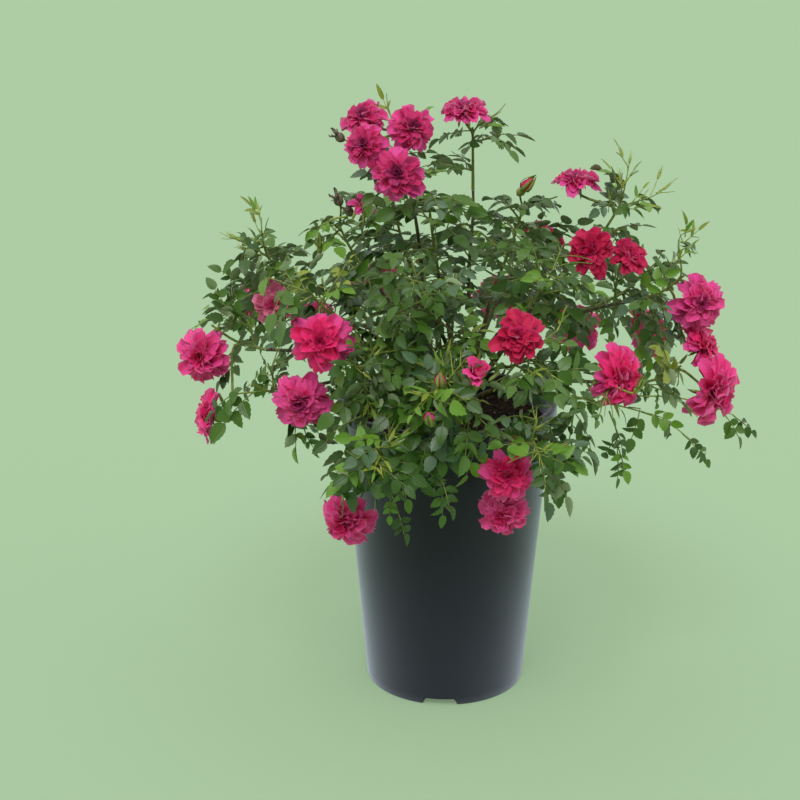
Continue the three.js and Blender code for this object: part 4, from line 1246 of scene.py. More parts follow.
carriers = [c for found in grownMasses for c in [found["stem"], *found["twigs"]]]
samples = np.array([carrier.getPoint(i / 6) for carrier in carriers for i in range(7)])
luck = random.Random(fillLook["seed"])
for centre, radius, count in fillPatches:
    for _ in range(count):
        way = unit(randomVector(luck, 1))
        place = np.array(centre) + way * radius * luck.random() ** 0.4
        gaps = np.linalg.norm(samples - place, axis=1)
        start = samples[gaps.argmin()]
        if not fillLook["nearest"] < gaps.min() < fillLook["furthest"]:
            continue
        root = start + (place - start) * fillLook["rootShare"]
        outward = unit(place - bushMiddle)
        drop = upward * luck.uniform(*fillLook["drop"])
        aim = unit((place - start) / gaps.min() + outward * fillLook["outward"] - drop)
        tip = root + aim * luck.uniform(*fillLook["length"])
        marks = [root, (root + tip) / 2, tip]
        if clearOfPot(np.array(marks), 1) and clearOfBlooms(marks):
            up, out, stray = fillLook["facing"]
            facing = upward * up + outward * out + randomVector(luck, stray)
            addLeaf(groupOf(ownerOf(place)), start, root, tip, facing, luck.choice(fillLook["tints"]), luck)

for place, facing, *rest in sideBuds:
    place, facing = np.array(place, float), unit(np.array(facing))
    youngBuds.append((place, facing, *rest))
    start = samples[np.linalg.norm(samples - place + upward * sideStalk["below"], axis=1).argmin()]
    span = np.linalg.norm(place - start)
    bend = start + upward * sideStalk["bend"] * span
    lastBend = place - facing * sideStalk["arrival"] * span
    corners = [start, bend, lastBend, place - facing * sideStalk["inside"]]
    threadLines.append(taperLine([bezierPoint(corners, i / 7) for i in range(8)], *sideStalk["radii"]))
luck = random.Random(hangLook["seed"])
for root, tip, tint in hangingLeaves:
    root, tip = np.array(root, float), np.array(tip, float)
    group = "leavesLeft" if root[0] < 0 else "leavesRight"
    start = root + (bushMiddle - root) * hangLook["start"]
    addLeaf(group, start, root, tip, np.array(hangLook["facing"]), tint, luck)
for group, places in hangingStems:
    stem = BentLine(places)
    threadLines.append(taperLine(roundedLine(stem, 12), *hangLook["stemRadii"]))
    for i, along in enumerate(hangLook["places"]):
        root = stem.getPoint(along)
        heading = stem.getTangent(min(along, 0.98))
        side = sideways(heading, i * math.pi + luck.uniform(*hangLook["sideStray"]))
        outward = side * (0 if along == 1 else hangLook["sideways"])
        way = unit(heading * hangLook["sideways"] + outward - upward * hangLook["drop"])
        tip = root + way * luck.uniform(*hangLook["length"])
        tint = luck.choice(hangLook["tints"])
        addLeaf(group, root, root + (tip - root) * 0.1, tip, np.array(hangLook["stemFacing"]), tint, luck)

# Leaflets that would hide a bloom from in front are left out
viewLook = {"towards": np.array([0, -0.95, 0.31]), "least": 0.3, "reach": 90, "share": 0.42, "margin": 3}
shownBlooms = [bloom for bloom in blooms if bloom["facing"].dot(viewLook["towards"]) > viewLook["least"]]


def hidesBloom(leaflet):
    for bloom in shownBlooms:
        offset = leaflet["at"] - bloom["at"]
        ahead = offset.dot(viewLook["towards"])
        beside = np.linalg.norm(offset - ahead * viewLook["towards"])
        if 0 < ahead < viewLook["reach"] and beside < viewLook["share"] * bloom["width"] + viewLook["margin"]:
            return True
    return False


for name, leaflets in leafGroups.items():
    leaflets = [leaflet for leaflet in leaflets if not hidesBloom(leaflet)]
    leafMesh = grown(pointMesh(leaflets), leafTree, {"Shapes": leafletShapes})
    nodes = ["foliage_" + mass["name"] for mass in masses if groupOf(mass) == name]
    declare(newPiece(name, leafMesh), nodes)
    print(name, len(leaflets), "leaflets")


# Boughs and stem: canes with streaked rind and low relief, and the green twigs that grow on from them

caneLook = {
    "steps": 26, "sides": 10, "twigSides": 5, "girth": 0.86, "slimming": 0.25,
    "wave": 0.05, "knot": 0.12, "knotChance": 0.1, "seed": 31,
}
caneLines = []
for name, limb in limbs.items():
    steps = caneLook["steps"]
    if "corners" in limb:
        points = [bezierPoint(limb["corners"], i / steps) for i in range(steps + 1)]
    else:
        points = roundedLine(limb["curve"], steps)
    knots = random.Random(len(name) * caneLook["seed"] + steps)
    girth, slim = (1.0, 0) if name == "stem" else (caneLook["girth"], caneLook["slimming"])
    radii = []
    for i in range(steps + 1):
        swell = caneLook["wave"] * math.sin(i * 1.7)
        swell += caneLook["knot"] if knots.random() < caneLook["knotChance"] else 0
        radii.append(limb["radiusAt"](i / steps) * girth * (1 + swell) * (1 - slim * i / steps))
    caneLines.append({"points": points, "radii": radii})
caneMesh = tubeMesh(caneLines, caneLook["sides"], rinds["roseBark"])
declare(newPiece("canes", caneMesh), caneNodes)

stalkLook = {"bloom": (0.95, 0.75), "bud": (0.75, 0.6), "shoot": (0.7, 0.22)}
for found in grownMasses:
    for stalk, corners, flower in found["stalks"]:
        points = [bezierPoint(corners, i / 8) for i in range(9)]
        twigLines.append(taperLine(points, *stalkLook[flower["kind"]]))
for name, lines, rind in (("twigs", twigLines, "greenRind"), ("threads", threadLines, "youngRind")):
    declare(newPiece(name, tubeMesh(lines, caneLook["twigSides"], rinds[rind])), foliageNodes)
print("canes and twigs made")


# Blooms: petals in one spiral from the reflexed outer ones to the upright heart

petalShape = {"columns": 7, "rows": (0, 0.32, 0.62, 0.85, 1), "width": 0.52, "claw": 0.24, "thickness": 0.012}


# One petal, a unit long: narrow claw, wide waved blade, and a notched tip that curls back
def petalMesh(name, cup, reflex, notch, ruffle, phase):
    shape = petalShape
    rows, columns = shape["rows"], shape["columns"]
    vertices, places, faces, isUnder, rim = [], [], [], [], {}

    def addVertex(row, column, sink):
        t = rows[row]
        u = column / (columns - 1) * 2 - 1
        spread = math.sin(math.pi * 0.62 * t) ** 1.1
        breadth = shape["width"] / 2 * (shape["claw"] + (1 - shape["claw"]) * spread)
        teeth = (math.sin(math.pi * 3 * u + phase * 3) * 0.5 - math.cos(math.pi * 2 * u)) * notch
        along = t - 0.16 * u * u * t ** 2 + teeth * t ** 4
        lift = cup * (0.4 * u * u + 0.12) * t - reflex * max(0, t - 0.5) ** 2
        lift += ruffle * math.sin(math.pi * 2.2 * u + phase * 3) * t ** 2
        vertices.append((along, u * breadth, lift - sink))
        places.append((t, column / (columns - 1)))
        return len(vertices) - 1

    for under in (False, True):
        grid = {}
        for row in range(len(rows)):
            for column in range(columns):
                if row in (0, len(rows) - 1) or column in (0, columns - 1):
                    if (row, column) not in rim:
                        rim[row, column] = addVertex(row, column, 0)
                    grid[row, column] = rim[row, column]
                else:
                    grid[row, column] = addVertex(row, column, shape["thickness"] if under else 0)
        for row in range(len(rows) - 1):
            for column in range(columns - 1):
                corners = ((row, column), (row + 1, column), (row + 1, column + 1), (row, column + 1))
                faces.append([grid[corner] for corner in corners])
                isUnder.append(under)
    return closedShape(name, vertices, faces, places, isUnder)


petalShapes = shapeCollection("petal", [  # cup, curl of the tip, notch, ruffle and phase of the waves
    petalMesh("petalWavy", 0.55, 0.7, 0.05, 0.05, 0.3),
    petalMesh("petalCurled", 0.35, 1.3, 0.07, 0.04, 1.1),
    petalMesh("petalCupped", 0.9, 0.35, 0.04, 0.045, 0.7),
])

bloomKeys = ("Petals", "Outer Tilt", "Inner Tilt", "Heart Size", "Lift", "Stray")
bloomForms = {  # petals, tilts of the outer and inner ones in degrees, heart size, lift, stray in degrees
    "open": (72, 102.0, 18.0, 0.36, 0.16, 9.0),
    "flat": (60, 95.0, 38.0, 0.42, 0.12, 9.0),
    "cupped": (62, 84.0, 10.0, 0.42, 0.1, 6.0),
    "opening": (12, 34.0, 6.0, 0.7, 0.04, 5.0),
    "wilted": (18, 120.0, 15.0, 0.7, 0.1, 30.0),
}
spiralLook = {"spinStray": 0.35, "easing": 1.2, "sizes": (0.8, 1.08), "outerUpTo": 0.3, "heartFrom": 0.78}


def makeBloomTree():
    tree, given = newTree("spiralBloom", {
        "Shapes": "Collection", "Petals": "Int", "Seed": "Int", **dict.fromkeys(bloomKeys[1:], "Float"),
        **dict.fromkeys(("Petal", "Underside", "Outer Petal", "Heart"), "Material"),
    })

    def maths(operation, *values):
        return calculate(tree, operation, *values)

    def seeded(low, high, offset):
        return chance(tree, low, high, maths("ADD", given["Seed"], offset))

    place = addNode(tree, "GeometryNodeInputIndex").outputs[0]
    share = maths("DIVIDE", place, given["Petals"])
    stray = seeded(-spiralLook["spinStray"], spiralLook["spinStray"], 1)
    spin = maths("ADD", maths("MULTIPLY", place, goldenAngle), stray)
    easing = maths("POWER", share, spiralLook["easing"])
    tiltDown = mapRange(tree, easing, given["Outer Tilt"], given["Inner Tilt"])
    tilt = maths("ADD", tiltDown, maths("MULTIPLY", seeded(-1.0, 1.0, 2), given["Stray"]))
    fall = maths("RADIANS", maths("SUBTRACT", tilt, 90.0))
    sizeInward = mapRange(tree, easing, 1.0, given["Heart Size"])
    size = maths("MULTIPLY", sizeInward, seeded(*spiralLook["sizes"], 3))
    lift = maths("MULTIPLY", easing, given["Lift"])
    middle = addNode(tree, "ShaderNodeCombineXYZ", {"Z": lift}).outputs[0]
    turn = addNode(tree, "ShaderNodeCombineXYZ", {"Y": fall, "Z": spin}).outputs[0]
    points = addNode(tree, "GeometryNodePoints", {"Count": given["Petals"], "Position": middle}).outputs[0]
    marked = addNode(tree, "GeometryNodeStoreNamedAttribute", {
        "Geometry": points, "Name": "ring", "Value": share}, data_type="FLOAT", domain="POINT").outputs[0]
    which = chanceOfThree(tree, given["Seed"])
    painted = paint(tree, dealShapes(tree, given["Shapes"], marked, which, turn, size), given["Petal"])
    painted = paint(tree, painted, given["Underside"], attribute(tree, "isUnder", "BOOLEAN"))
    ring = attribute(tree, "ring", "FLOAT")
    painted = paint(tree, painted, given["Outer Petal"], maths("LESS_THAN", ring, spiralLook["outerUpTo"]))
    painted = paint(tree, painted, given["Heart"], maths("GREATER_THAN", ring, spiralLook["heartFrom"]))
    addNode(tree, "NodeGroupOutput", {"Geometry": painted})
    return tree


bloomTree = makeBloomTree()


# Joins plain meshes, each moved to its place, into one mesh that keeps their materials
def joinedMesh(name, rows):
    carriers = []
    for mesh, place in rows:
        mesh.transform(place)
        carriers.append(newPiece("part", mesh))
    with bpy.context.temp_override(active_object=carriers[0], selected_editable_objects=carriers):
        bpy.ops.object.join()
    result = carriers[0].data
    bpy.data.objects.remove(carriers[0])
    result.name = name
    return result


def placed(at, facing, size):
    turn = Vector((0, 0, 1)).rotation_difference(Vector(facing))
    return Matrix.LocRotScale(Vector([c * mm for c in at]), turn, Vector([size * mm] * 3))


seatDepth = 0.1  # how far the petals' seat lies behind the middle of a flower, in widths of it


def seatOf(flower):
    return flower["at"] - flower["facing"] * seatDepth * flower["width"]


tintRings = {  # the petals between, the outer ones and the heart of each sort of bloom
    "petalCrimson": ("petalCrimson", "petalPink", "petalDeep"),
    "petalPink": ("petalPink", "petalPink", "petalDeep"),
    "petalMagenta": ("petalPink", "petalMagenta", "petalHeart"),
    "petalRed": ("petalRed", "petalRed", "petalDeep"),
    "petalPale": ("petalPale", "petalPale", "petalPink"),
    "petalRose": ("petalRose", "petalMagenta", "petalHeart"),
}
petalShare = {"usual": 0.54, "opening": 1.75, "wilted": 0.95}  # length of a petal in widths of its flower
bloomRows = {"bloomsFront": [], "bloomsBack": []}
for index, flower in enumerate(flowers):
    if flower["form"] in bloomForms:
        petal, outer, heart = (petalMaterials[tint] for tint in tintRings[flower["tint"]])
        bloom = grown(bpy.data.meshes.new("seed"), bloomTree, {
            **dict(zip(bloomKeys, bloomForms[flower["form"]])), "Seed": index * 10, "Shapes": petalShapes,
            "Petal": petal, "Outer Petal": outer, "Heart": heart,
            "Underside": petalMaterials["petalUnderside"],
        })
        size = flower["width"] * petalShare.get(flower["form"], petalShare["usual"])
        group = "bloomsBack" if isBack(flower["at"]) else "bloomsFront"
        bloomRows[group].append((bloom, placed(seatOf(flower), flower["facing"], size)))
for name, rows in bloomRows.items():
    bloomMesh = joinedMesh(name, rows)
    smoothFaces(bloomMesh)
    isRear = name == "bloomsBack"
    owners = {ownerOf(bloom["at"])["name"] for bloom in blooms if isBack(bloom["at"]) == isRear}
    declare(newPiece(name, bloomMesh), sorted("foliage_" + owner for owner in owners))
    print(name, len(rows))


# Calyces, buds and spent hips: turned bodies with five sepals, dealt to the ends of their stalks

calyxSize = {"sides": 8, "sepals": 5, "sepalWidth": 0.3, "sepalThickness": 0.05}


# A turned body, closed at both ends; its outline is given as radius and height
def turnedShape(outline, sides):
    vertices, faces = [], []
    for radius, height in outline[1:-1]:
        for i in range(sides):
            turn = 2 * math.pi * i / sides
            vertices.append((radius * math.cos(turn), radius * math.sin(turn), height))
    bottom, top = len(vertices), len(vertices) + 1
    vertices += [(0, 0, outline[0][1]), (0, 0, outline[-1][1])]
    rings = len(outline) - 2
    for i in range(sides):
        j = (i + 1) % sides
        faces += [(bottom, j, i), (top, (rings - 1) * sides + i, (rings - 1) * sides + j)]
        for ring in range(rings - 1):
            faces.append((ring * sides + i, ring * sides + j, (ring + 1) * sides + j, (ring + 1) * sides + i))
    return vertices, faces


# Quads between rings of vertices that follow one another
def sleeve(sides, spans):
    faces = []
    for ring in range(0, sides * spans, sides):
        for i in range(sides):
            j = (i + 1) % sides
            faces.append((ring + i, ring + j, ring + sides + j, ring + sides + i))
    return faces


# A sepal: a narrow pointed leaf whose spine runs through the given radii and heights
def sepalShape(spine, turn, width):
    vertices = []
    last = len(spine) - 1
    for i, (radius, height) in enumerate(spine):
        share = i / last
        breadth = width * (0.55 + 0.9 * share) * (1 - share) ** 0.8 + 0.012
        thickness = calyxSize["sepalThickness"]
        for side, thick in ((-1, 0), (0, thickness), (1, 0), (0, -thickness)):
            x, y = radius + thick * (1 - share), side * breadth
            turned = (x * math.cos(turn) - y * math.sin(turn), x * math.sin(turn) + y * math.cos(turn))
            vertices.append((*turned, height))
    ends = [(3, 2, 1, 0), (4 * last, 4 * last + 1, 4 * last + 2, 4 * last + 3)]
    return vertices, sleeve(4, last) + ends


def combined(name, parts):
    vertices, faces, isUnder = [], [], []
    for (points, sides), isPetal in parts:
        faces += [tuple(len(vertices) + i for i in face) for face in sides]
        vertices += points
        isUnder += [isPetal] * len(sides)
    places = [(v[2], math.atan2(v[1], v[0]) / math.pi) for v in vertices]
    return closedShape(name, vertices, faces, places, isUnder)


bulb = [(0, -0.95), (0.16, -0.92), (0.34, -0.72), (0.42, -0.45), (0.38, -0.18), (0.3, -0.04), (0, 0)]
petalTip = [(0, -0.05), (0.34, 0.02), (0.5, 0.35), (0.5, 0.7), (0.36, 1.1), (0.14, 1.42), (0, 1.5)]
hipBody = [(0, -1.1), (0.22, -1.08), (0.52, -0.75), (0.58, -0.35), (0.42, -0.02), (0.36, 0.1), (0, 0.06)]
spindle = [
    (0, -0.6), (0.16, -0.56), (0.34, -0.2), (0.38, 0.4), (0.28, 1.1), (0.14, 1.9), (0.05, 2.9), (0, 3.0)]
sepalWays = {
    "reflexed": [(0.3, -0.05), (0.8, 0.04), (1.25, -0.25), (1.5, -0.75), (1.6, -1.2)],
    "hugging": [(0.32, -0.04), (0.58, 0.3), (0.62, 0.8), (0.4, 1.35), (0.12, 1.9)],
    "spread": [(0.3, -0.04), (0.62, 0.35), (0.95, 0.7), (1.25, 1.25), (1.5, 1.9)],
    "shrivelled": [(0.3, 0.04), (0.5, 0.2), (0.7, 0.36), (0.72, 0.6), (0.5, 0.78)],
    "pointed": [(0.3, 0.3), (0.36, 0.9), (0.34, 1.6), (0.42, 2.5), (0.75, 3.4)],
}


def sepalsOf(way, stray, count):
    shapes = []
    for i in range(count):
        turn = 2 * math.pi * i / count + 0.3 * math.sin(i * 2.4)
        share = 1 + stray * math.sin(i * 3.7)
        spine = [(r * (1 if k == 0 else share), h * share) for k, (r, h) in enumerate(sepalWays[way])]
        shapes.append((sepalShape(spine, turn, calyxSize["sepalWidth"]), False))
    return shapes


calyxForms = {  # green body, petals if any, way of the sepals, their stray and number
    "calyxReflexed": (bulb, None, "reflexed", 0.1, calyxSize["sepals"]),
    "budShowing": (bulb, petalTip, "hugging", 0.08, calyxSize["sepals"]),
    "budOpening": (bulb, None, "spread", 0.15, calyxSize["sepals"]),
    "budGreen": (bulb, None, "hugging", 0.05, calyxSize["sepals"]),
    "spentHip": (hipBody, None, "shrivelled", 0.25, calyxSize["sepals"]),
    "budLong": (spindle, None, "pointed", 0.12, 2),
}
calyxMeshes = []
for name, (body, petals, way, stray, count) in calyxForms.items():
    parts = [(turnedShape(body, calyxSize["sides"]), False)]
    if petals:
        parts.append((turnedShape(petals, calyxSize["sides"]), True))
    calyxMeshes.append(combined(name, parts + sepalsOf(way, stray, count)))
calyxShapes = shapeCollection("calyx", calyxMeshes)
calyxTints = [rinds[name] for name in ("calyxRind", "spentRind", "youngRind")]
budPetals = ["petalPink", "petalCrimson", "petalMagenta", "petalHeart"]
budTrees = {name: makeDealTree("buds" + name, calyxTints, petalMaterials[name]) for name in budPetals}
calyxKinds = {"calyx": 0, "wilted": 0, "showing": 1, "opening": 2, "green": 3, "spent": 4, "long": 5}
budShare = {"usual": 0.62, "showing": 0.74, "opening": 0.8, "calyx": 0.19}  # radius in widths of the flower
sideBudSize = 2.2


def calyxPoint(at, facing, size, kind, tint):
    helper = np.array([0.3, 0.9, 0.2]) if abs(facing[1]) < 0.8 else np.array([1.0, 0.2, 0.1])
    across = unit(np.cross(facing, helper))
    return {"at": at, "turn": turnTo(across, facing), "size": (size, size, size), "kind": kind, "tint": tint}


budPoints = {name: [] for name in budPetals}
for flower in flowers:
    at, facing, form, width = (flower[key] for key in ("at", "facing", "form", "width"))
    if flower["kind"] == "bloom":
        size = budShare["calyx"] * width
        budPoints["petalPink"].append(calyxPoint(seatOf(flower), facing, size, calyxKinds["calyx"], 0))
    if flower["kind"] == "bud":
        name = flower["tint"] if flower["tint"] in budPetals else "petalPink"
        size = budShare.get(form, budShare["usual"]) * width
        budPoints[name].append(calyxPoint(at, facing, size, calyxKinds[form], 1 if form == "spent" else 0))
    if form == "side":
        budPoints["petalPink"].append(calyxPoint(at, facing, sideBudSize, calyxKinds["long"], 2))
for *point, petal in youngBuds:
    budPoints[petal].append(calyxPoint(*point))
budRows = [(grown(pointMesh(points), budTrees[name], {"Shapes": calyxShapes}), Matrix.Identity(4))
           for name, points in budPoints.items()]
declare(newPiece("buds", joinedMesh("buds", budRows)), foliageNodes)
print("calyxes and buds made")


# The pot: a thin tapering shell with a rolled rim, a foot ring with notches and drain holes

potBends = {"pad": 0.8, "rows": 22, "innerRows": 12, "sharpest": 40, "holeSides": 24, "holeCut": 6}


# Half the pot's outline: from the pad below the floor over the foot ring, wall and rim to the inside
def potOutline():
    height, rim, foot = potSize["height"], potSize["rimRadius"], potSize["footRadius"]
    underRim = height - potSize["rimHeight"]
    bottom = potSize["floorBottom"]
    floorTop = bottom + potSize["floorThickness"]
    recess = foot - potSize["ringWidth"]
    pad, bend = potSize["padRadius"], potBends["pad"]
    outline = [
        (0, 0), (pad - bend, 0), (pad, bend), (pad, bottom - bend), (pad + bend, bottom),
        (recess - bend, bottom), (recess, bottom - bend), (recess, 0.4), (recess + 0.4, 0),
        (foot - 1, 0), (foot - 0.3, 0.3), (foot + 0.05, 1)]
    outline += [(outerRadiusAt(z), z) for z in np.linspace(6, underRim - 2, potBends["rows"])]
    outline += [
        (outerRadiusAt(underRim - 0.6), underRim - 0.6), (outerRadiusAt(underRim) + 0.5, underRim),
        (rim - 0.7, underRim + 0.15), (rim - 0.1, underRim + 0.7), (rim, underRim + 1.4), (rim, height - 1.6),
        (rim - 0.25, height - 0.7), (rim - 0.9, height - 0.15), (rim - 1.5, height)]
    inner = innerRadiusAt(height)
    outline += [(inner + 0.7, height), (inner + 0.15, height - 0.4), (inner, height - 1.2)]
    outline += [(innerRadiusAt(z), z) for z in np.linspace(height - 8, floorTop + 3, potBends["innerRows"])]
    outline += [(innerRadiusAt(floorTop) - 1.2, floorTop), (0, floorTop)]
    return outline


def meshObject(name, vertices, faces):
    mesh = bpy.data.meshes.new(name)
    mesh.from_pydata([[c * mm for c in v] for v in vertices], [], faces)
    smoothFaces(mesh)
    return newPiece(name, mesh)


pot = meshObject("pot", *turnedShape(potOutline(), potSize["segments"]))
pot.data.set_sharp_from_angle(angle=math.radians(potBends["sharpest"]))


# Cuts a shape out of a piece with a Boolean modifier and keeps the plain result
def cutOut(piece, cutter):
    modifier = piece.modifiers.new("cut", "BOOLEAN")
    modifier.object = cutter
    modifier.solver = "EXACT"
    result = finalMesh(piece)
    piece.modifiers.clear()
    piece.data = result
    bpy.data.objects.remove(cutter)


cutterShell = bmesh.new()
half, top = potSize["notchWidth"] / 2, potSize["notchHeight"]
front, back = -potSize["footRadius"] - 3, -potSize["footRadius"] + 7
notch = [
    (-half - 2, -1), (half + 2, -1), (half - 0.4, top - 0.7), (half - 1.4, top), (1.4 - half, top),
    (0.4 - half, top - 0.7)]
for i in range(potSize["notches"]):
    turn = Matrix.Rotation(math.radians(i * 360 / potSize["notches"] - potSize["notchTurn"]), 4, "Z")
    ends = []
    for y in (front, back):
        ends.append([cutterShell.verts.new(turn @ Vector((x * mm, y * mm, z * mm))) for x, z in notch])
    cutterShell.faces.new(ends[0])
    cutterShell.faces.new(ends[1][::-1])
    for k in range(len(notch)):
        j = (k + 1) % len(notch)
        cutterShell.faces.new([ends[0][j], ends[0][k], ends[1][k], ends[1][j]])
circle, radius = potSize["drainCircle"] * mm, potSize["drainRadius"] * mm
holeCut = potBends["holeCut"] * mm
for i in range(potSize["drainHoles"]):
    turn = 2 * math.pi * (i + 0.5) / potSize["drainHoles"]
    at = (circle * math.cos(turn), circle * math.sin(turn), holeCut)
    bmesh.ops.create_cone(cutterShell, cap_ends=True, segments=potBends["holeSides"], radius1=radius,
                          radius2=radius, depth=holeCut, matrix=Matrix.Translation(at))
cutterMesh = bpy.data.meshes.new("cutter")
cutterShell.to_mesh(cutterMesh)
cutterShell.free()
cutOut(pot, newPiece("cutter", cutterMesh))
pot.data.materials.append(potMaterial)
declare(pot, ["pot"])
print("pot made")


# Soil: settled peat with a little crown, filling the pot to its floor, and loose crumbs on top

# The crown with low lumps on it, which die out towards the wall of the pot
def soilHeight(x, y):
    share = min(1, math.hypot(x, y) / innerRadiusAt(soilSize["surface"]))
    lumps = math.sin(x * 0.21 + 1) * math.sin(y * 0.19) + 0.7 * math.sin(x * 0.53 + y * 0.37 + 2)
    lumps += 0.5 * math.sin(x * 1.1 - y * 0.9) * math.sin(y * 1.3 + 0.4)
    crowned = soilSize["surface"] + soilSize["crown"] * (1 - share ** 2)
    return crowned + soilSize["lumps"] * 0.6 * lumps * (1 - share ** 6)


def soilBody():
    surface, clearance, rings = soilSize["surface"], soilSize["clearance"], soilSize["rings"]
    edge = innerRadiusAt(surface) - clearance
    bottom = potSize["floorBottom"] + potSize["floorThickness"] + clearance
    low = innerRadiusAt(bottom) - clearance - 1.3
    outline = [(0, bottom), (low - 1, bottom), (low, bottom + 1), (edge, surface - 1)]
    outline += [(edge * (rings - i) / rings, surface) for i in range(rings)]
    outline.append((0, surface))
    vertices, faces = turnedShape(outline, soilSize["segments"])
    lifted = [(x, y, soilHeight(x, y) if z >= surface - 0.5 else z) for x, y, z in vertices]
    return meshObject("soil", lifted, faces)


soil = soilBody()
soil.data.materials.append(crumbMaterials["moistPeat"])
declare(soil, ["soil"])

crumbLook = {
    "density": 160000.0, "seed": 11, "leastUp": 0.6, "lean": 0.5,
    # Share of the density, least and greatest radius in mm
    "sorts": {"moistPeat": (1.0, 0.5, 1.6), "barkChip": (0.28, 0.9, 2.6), "perlite": (0.02, 0.6, 1.3)},
}


# One crumb: a ball with its corners moved at random, then flattened
def chunkMesh(name, flatness, roughness, seed):
    shell = bmesh.new()
    bmesh.ops.create_icosphere(shell, subdivisions=1, radius=1)
    luck = random.Random(seed)
    for vertex in shell.verts:
        vertex.co *= 1 + luck.uniform(-roughness, roughness)
        vertex.co.z *= flatness
        vertex.co.y *= 0.8
    mesh = bpy.data.meshes.new(name)
    shell.to_mesh(mesh)
    shell.free()
    return mesh


chunkShapes = shapeCollection("chunk", [
    chunkMesh("crumbRound", 0.8, 0.25, 1), chunkMesh("crumbFlat", 0.45, 0.35, 2),
    chunkMesh("crumbLong", 0.3, 0.3, 3)])


# Scatters shapes over the faces that look upward enough, each turned at random about the normal
def makeScatterTree():
    tree, given = newTree("scatterOnFaces", {
        "Shapes": "Collection", "Density": "Float", "Seed": "Int", "Least": "Float", "Most": "Float",
        "Least Up": "Float", "Lean": "Float", "Material": "Material",
    })
    normal = addNode(tree, "GeometryNodeInputNormal").outputs[0]
    height = addNode(tree, "ShaderNodeSeparateXYZ", {0: normal}).outputs["Z"]
    isUp = addNode(tree, "FunctionNodeCompare", {0: height, 1: given["Least Up"]},
                   data_type="FLOAT", operation="GREATER_THAN").outputs[0]
    points = addNode(tree, "GeometryNodeDistributePointsOnFaces", {
        "Mesh": given["Geometry"], "Selection": isUp, "Density": given["Density"], "Seed": given["Seed"]})
    spin, lean = chance(tree, 0.0, 6.283, 3), chance(tree, 0.0, given["Lean"], 4)
    own = addNode(tree, "ShaderNodeCombineXYZ", {"X": lean, "Z": spin}).outputs[0]
    turn = addNode(tree, "FunctionNodeRotateRotation", {
        "Rotation": points.outputs["Rotation"], "Rotate By": own}, rotation_space="LOCAL").outputs[0]
    size = chance(tree, given["Least"], given["Most"], 5)
    dealt = dealShapes(tree, given["Shapes"], points.outputs[0], chanceOfThree(tree, 6), turn, size)
    addNode(tree, "NodeGroupOutput", {"Geometry": paint(tree, dealt, given["Material"])})
    return tree


scatterTree = makeScatterTree()


def scattered(mesh, shapes, look, density, seed, least, most, material):
    return grown(mesh.copy(), scatterTree, {
        "Shapes": shapes, "Density": density, "Seed": seed, "Least": least * mm, "Most": most * mm,
        "Least Up": look["leastUp"], "Lean": look["lean"], "Material": material})


crumbRows = []
for row, (name, (share, least, most)) in enumerate(crumbLook["sorts"].items()):
    density, seed = crumbLook["density"] * share, crumbLook["seed"] + row
    crumbs = scattered(soil.data, chunkShapes, crumbLook, density, seed, least, most, crumbMaterials[name])
    crumbRows.append((crumbs, Matrix.Identity(4)))
declare(newPiece("crumbs", joinedMesh("crumbs", crumbRows)), ["soil"])
print("soil and crumbs made")


# Prickles: hooked, set at random round the canes

prickleLook = {
    "density": 14000.0, "seed": 5, "least": 1.3, "most": 2.6, "leastUp": -2.0, "lean": 0.2,
    "spine": [(0, 0), (0.16, 0.3), (0.1, 0.62), (-0.16, 0.95), (-0.45, 1.15)], "girth": 0.36, "sides": 5,
}


# One prickle: a flattened cone along its hooked spine
def prickleMesh():
    spine, sides = prickleLook["spine"], prickleLook["sides"]
    vertices = []
    for i, (x, z) in enumerate(spine[:-1]):
        girth = prickleLook["girth"] * (1 - i / (len(spine) - 1)) ** 1.3
        for k in range(sides):
            turn = 2 * math.pi * k / sides
            vertices.append((x + girth * 1.5 * math.cos(turn), girth * 0.7 * math.sin(turn), z))
    vertices.append((spine[-1][0], 0, spine[-1][1]))
    last = len(spine) - 2
    rim = sides * last
    faces = sleeve(sides, last)
    faces += [(rim + k, rim + (k + 1) % sides, len(vertices) - 1) for k in range(sides)]
    faces.append(tuple(reversed(range(sides))))
    mesh = bpy.data.meshes.new("prickle")
    mesh.from_pydata(vertices, [], faces)
    smoothFaces(mesh)
    return mesh


prickleShapes = shapeCollection("prickles", [prickleMesh()])
prickleSizes = [prickleLook[key] for key in ("density", "seed", "least", "most")]
prickles = scattered(caneMesh, prickleShapes, prickleLook, *prickleSizes, rinds["prickle"])
declare(newPiece("prickles", prickles), caneNodes)
print("prickles made")


# Studio: a pale green sweep, white light all round and a broad soft light from above

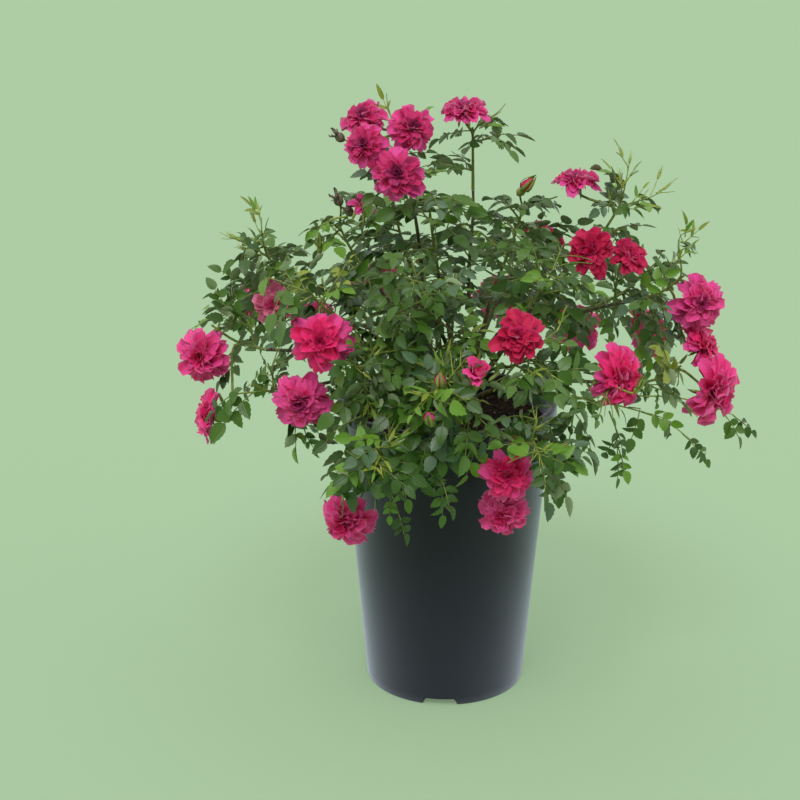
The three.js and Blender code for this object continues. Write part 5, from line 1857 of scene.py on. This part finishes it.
studio = {
    "floorColour": "#B0CFA7", "floorGlow": 0.36, "floorPaint": 0.51, "floorReach": 40,
    "world": "#FFFFFF", "worldStrength": 0.95, "darkFront": 0.25, "darkFrom": -0.25, "darkest": -0.85,
    "sunStrength": 1.5, "sunAngle": 30, "sunTurn": (38, -4, 0),
    "lens": 74.25, "camera": (0, -1.002, 0.5105), "pitch": 17.77, "yaw": -1.71,
}
floorMaterial, floorTree = newMaterial("paintedFloor")
floorColour = linear(studio["floorColour"])
dimmed = [c * studio["floorPaint"] for c in floorColour[:3]] + [1.0]
floorPaint = addNode(floorTree, "ShaderNodeBsdfDiffuse", {"Color": dimmed})
floorLight = addNode(floorTree, "ShaderNodeEmission", {"Color": floorColour, "Strength": studio["floorGlow"]})
both = addNode(floorTree, "ShaderNodeAddShader", {0: floorPaint.outputs[0], 1: floorLight.outputs[0]})
addNode(floorTree, "ShaderNodeOutputMaterial", {"Surface": both.outputs[0]})
floorMesh = bpy.data.meshes.new("floor")
reach = studio["floorReach"]
floorMesh.from_pydata(
    [(-reach, -reach, 0), (reach, -reach, 0), (reach, reach, 0), (-reach, reach, 0)], [], [(0, 1, 2, 3)])
floorMesh.materials.append(floorMaterial)
newPiece("floor", floorMesh)

# White all round, darker behind the photographer, so that the pot's middle stays dark and its sides shine
world = bpy.data.worlds.new("studio")
bpy.context.scene.world = world
world.use_nodes = True
sky = world.node_tree
sky.nodes.clear()
parts = addNode(sky, "ShaderNodeSeparateXYZ", {"Vector": placeOn(sky, "Generated")})
full = studio["worldStrength"]
brightness = addNode(sky, "ShaderNodeMapRange", {
    "Value": parts.outputs["Y"], "From Min": studio["darkest"], "From Max": studio["darkFrom"],
    "To Min": full * studio["darkFront"], "To Max": full,
}, interpolation_type="SMOOTHSTEP")
light = addNode(sky, "ShaderNodeBackground", {
    "Color": linear(studio["world"]), "Strength": brightness.outputs[0]})
addNode(sky, "ShaderNodeOutputWorld", {"Surface": light.outputs[0]})

sun = bpy.data.lights.new("overhead", "SUN")
sun.energy = studio["sunStrength"]
sun.angle = math.radians(studio["sunAngle"])
sunHolder = newPiece("overhead", sun)
sunHolder.rotation_euler = [math.radians(turn) for turn in studio["sunTurn"]]

lens = bpy.data.cameras.new("camera")
lens.lens = studio["lens"]
lens.sensor_width = 36
cameraHolder = newPiece("camera", lens)
cameraHolder.location = studio["camera"]
cameraHolder.rotation_euler = (math.radians(90 - studio["pitch"]), 0, math.radians(-studio["yaw"]))
bpy.context.scene.camera = cameraHolder
bpy.context.scene.view_settings.view_transform = "Standard"

print("studio made")
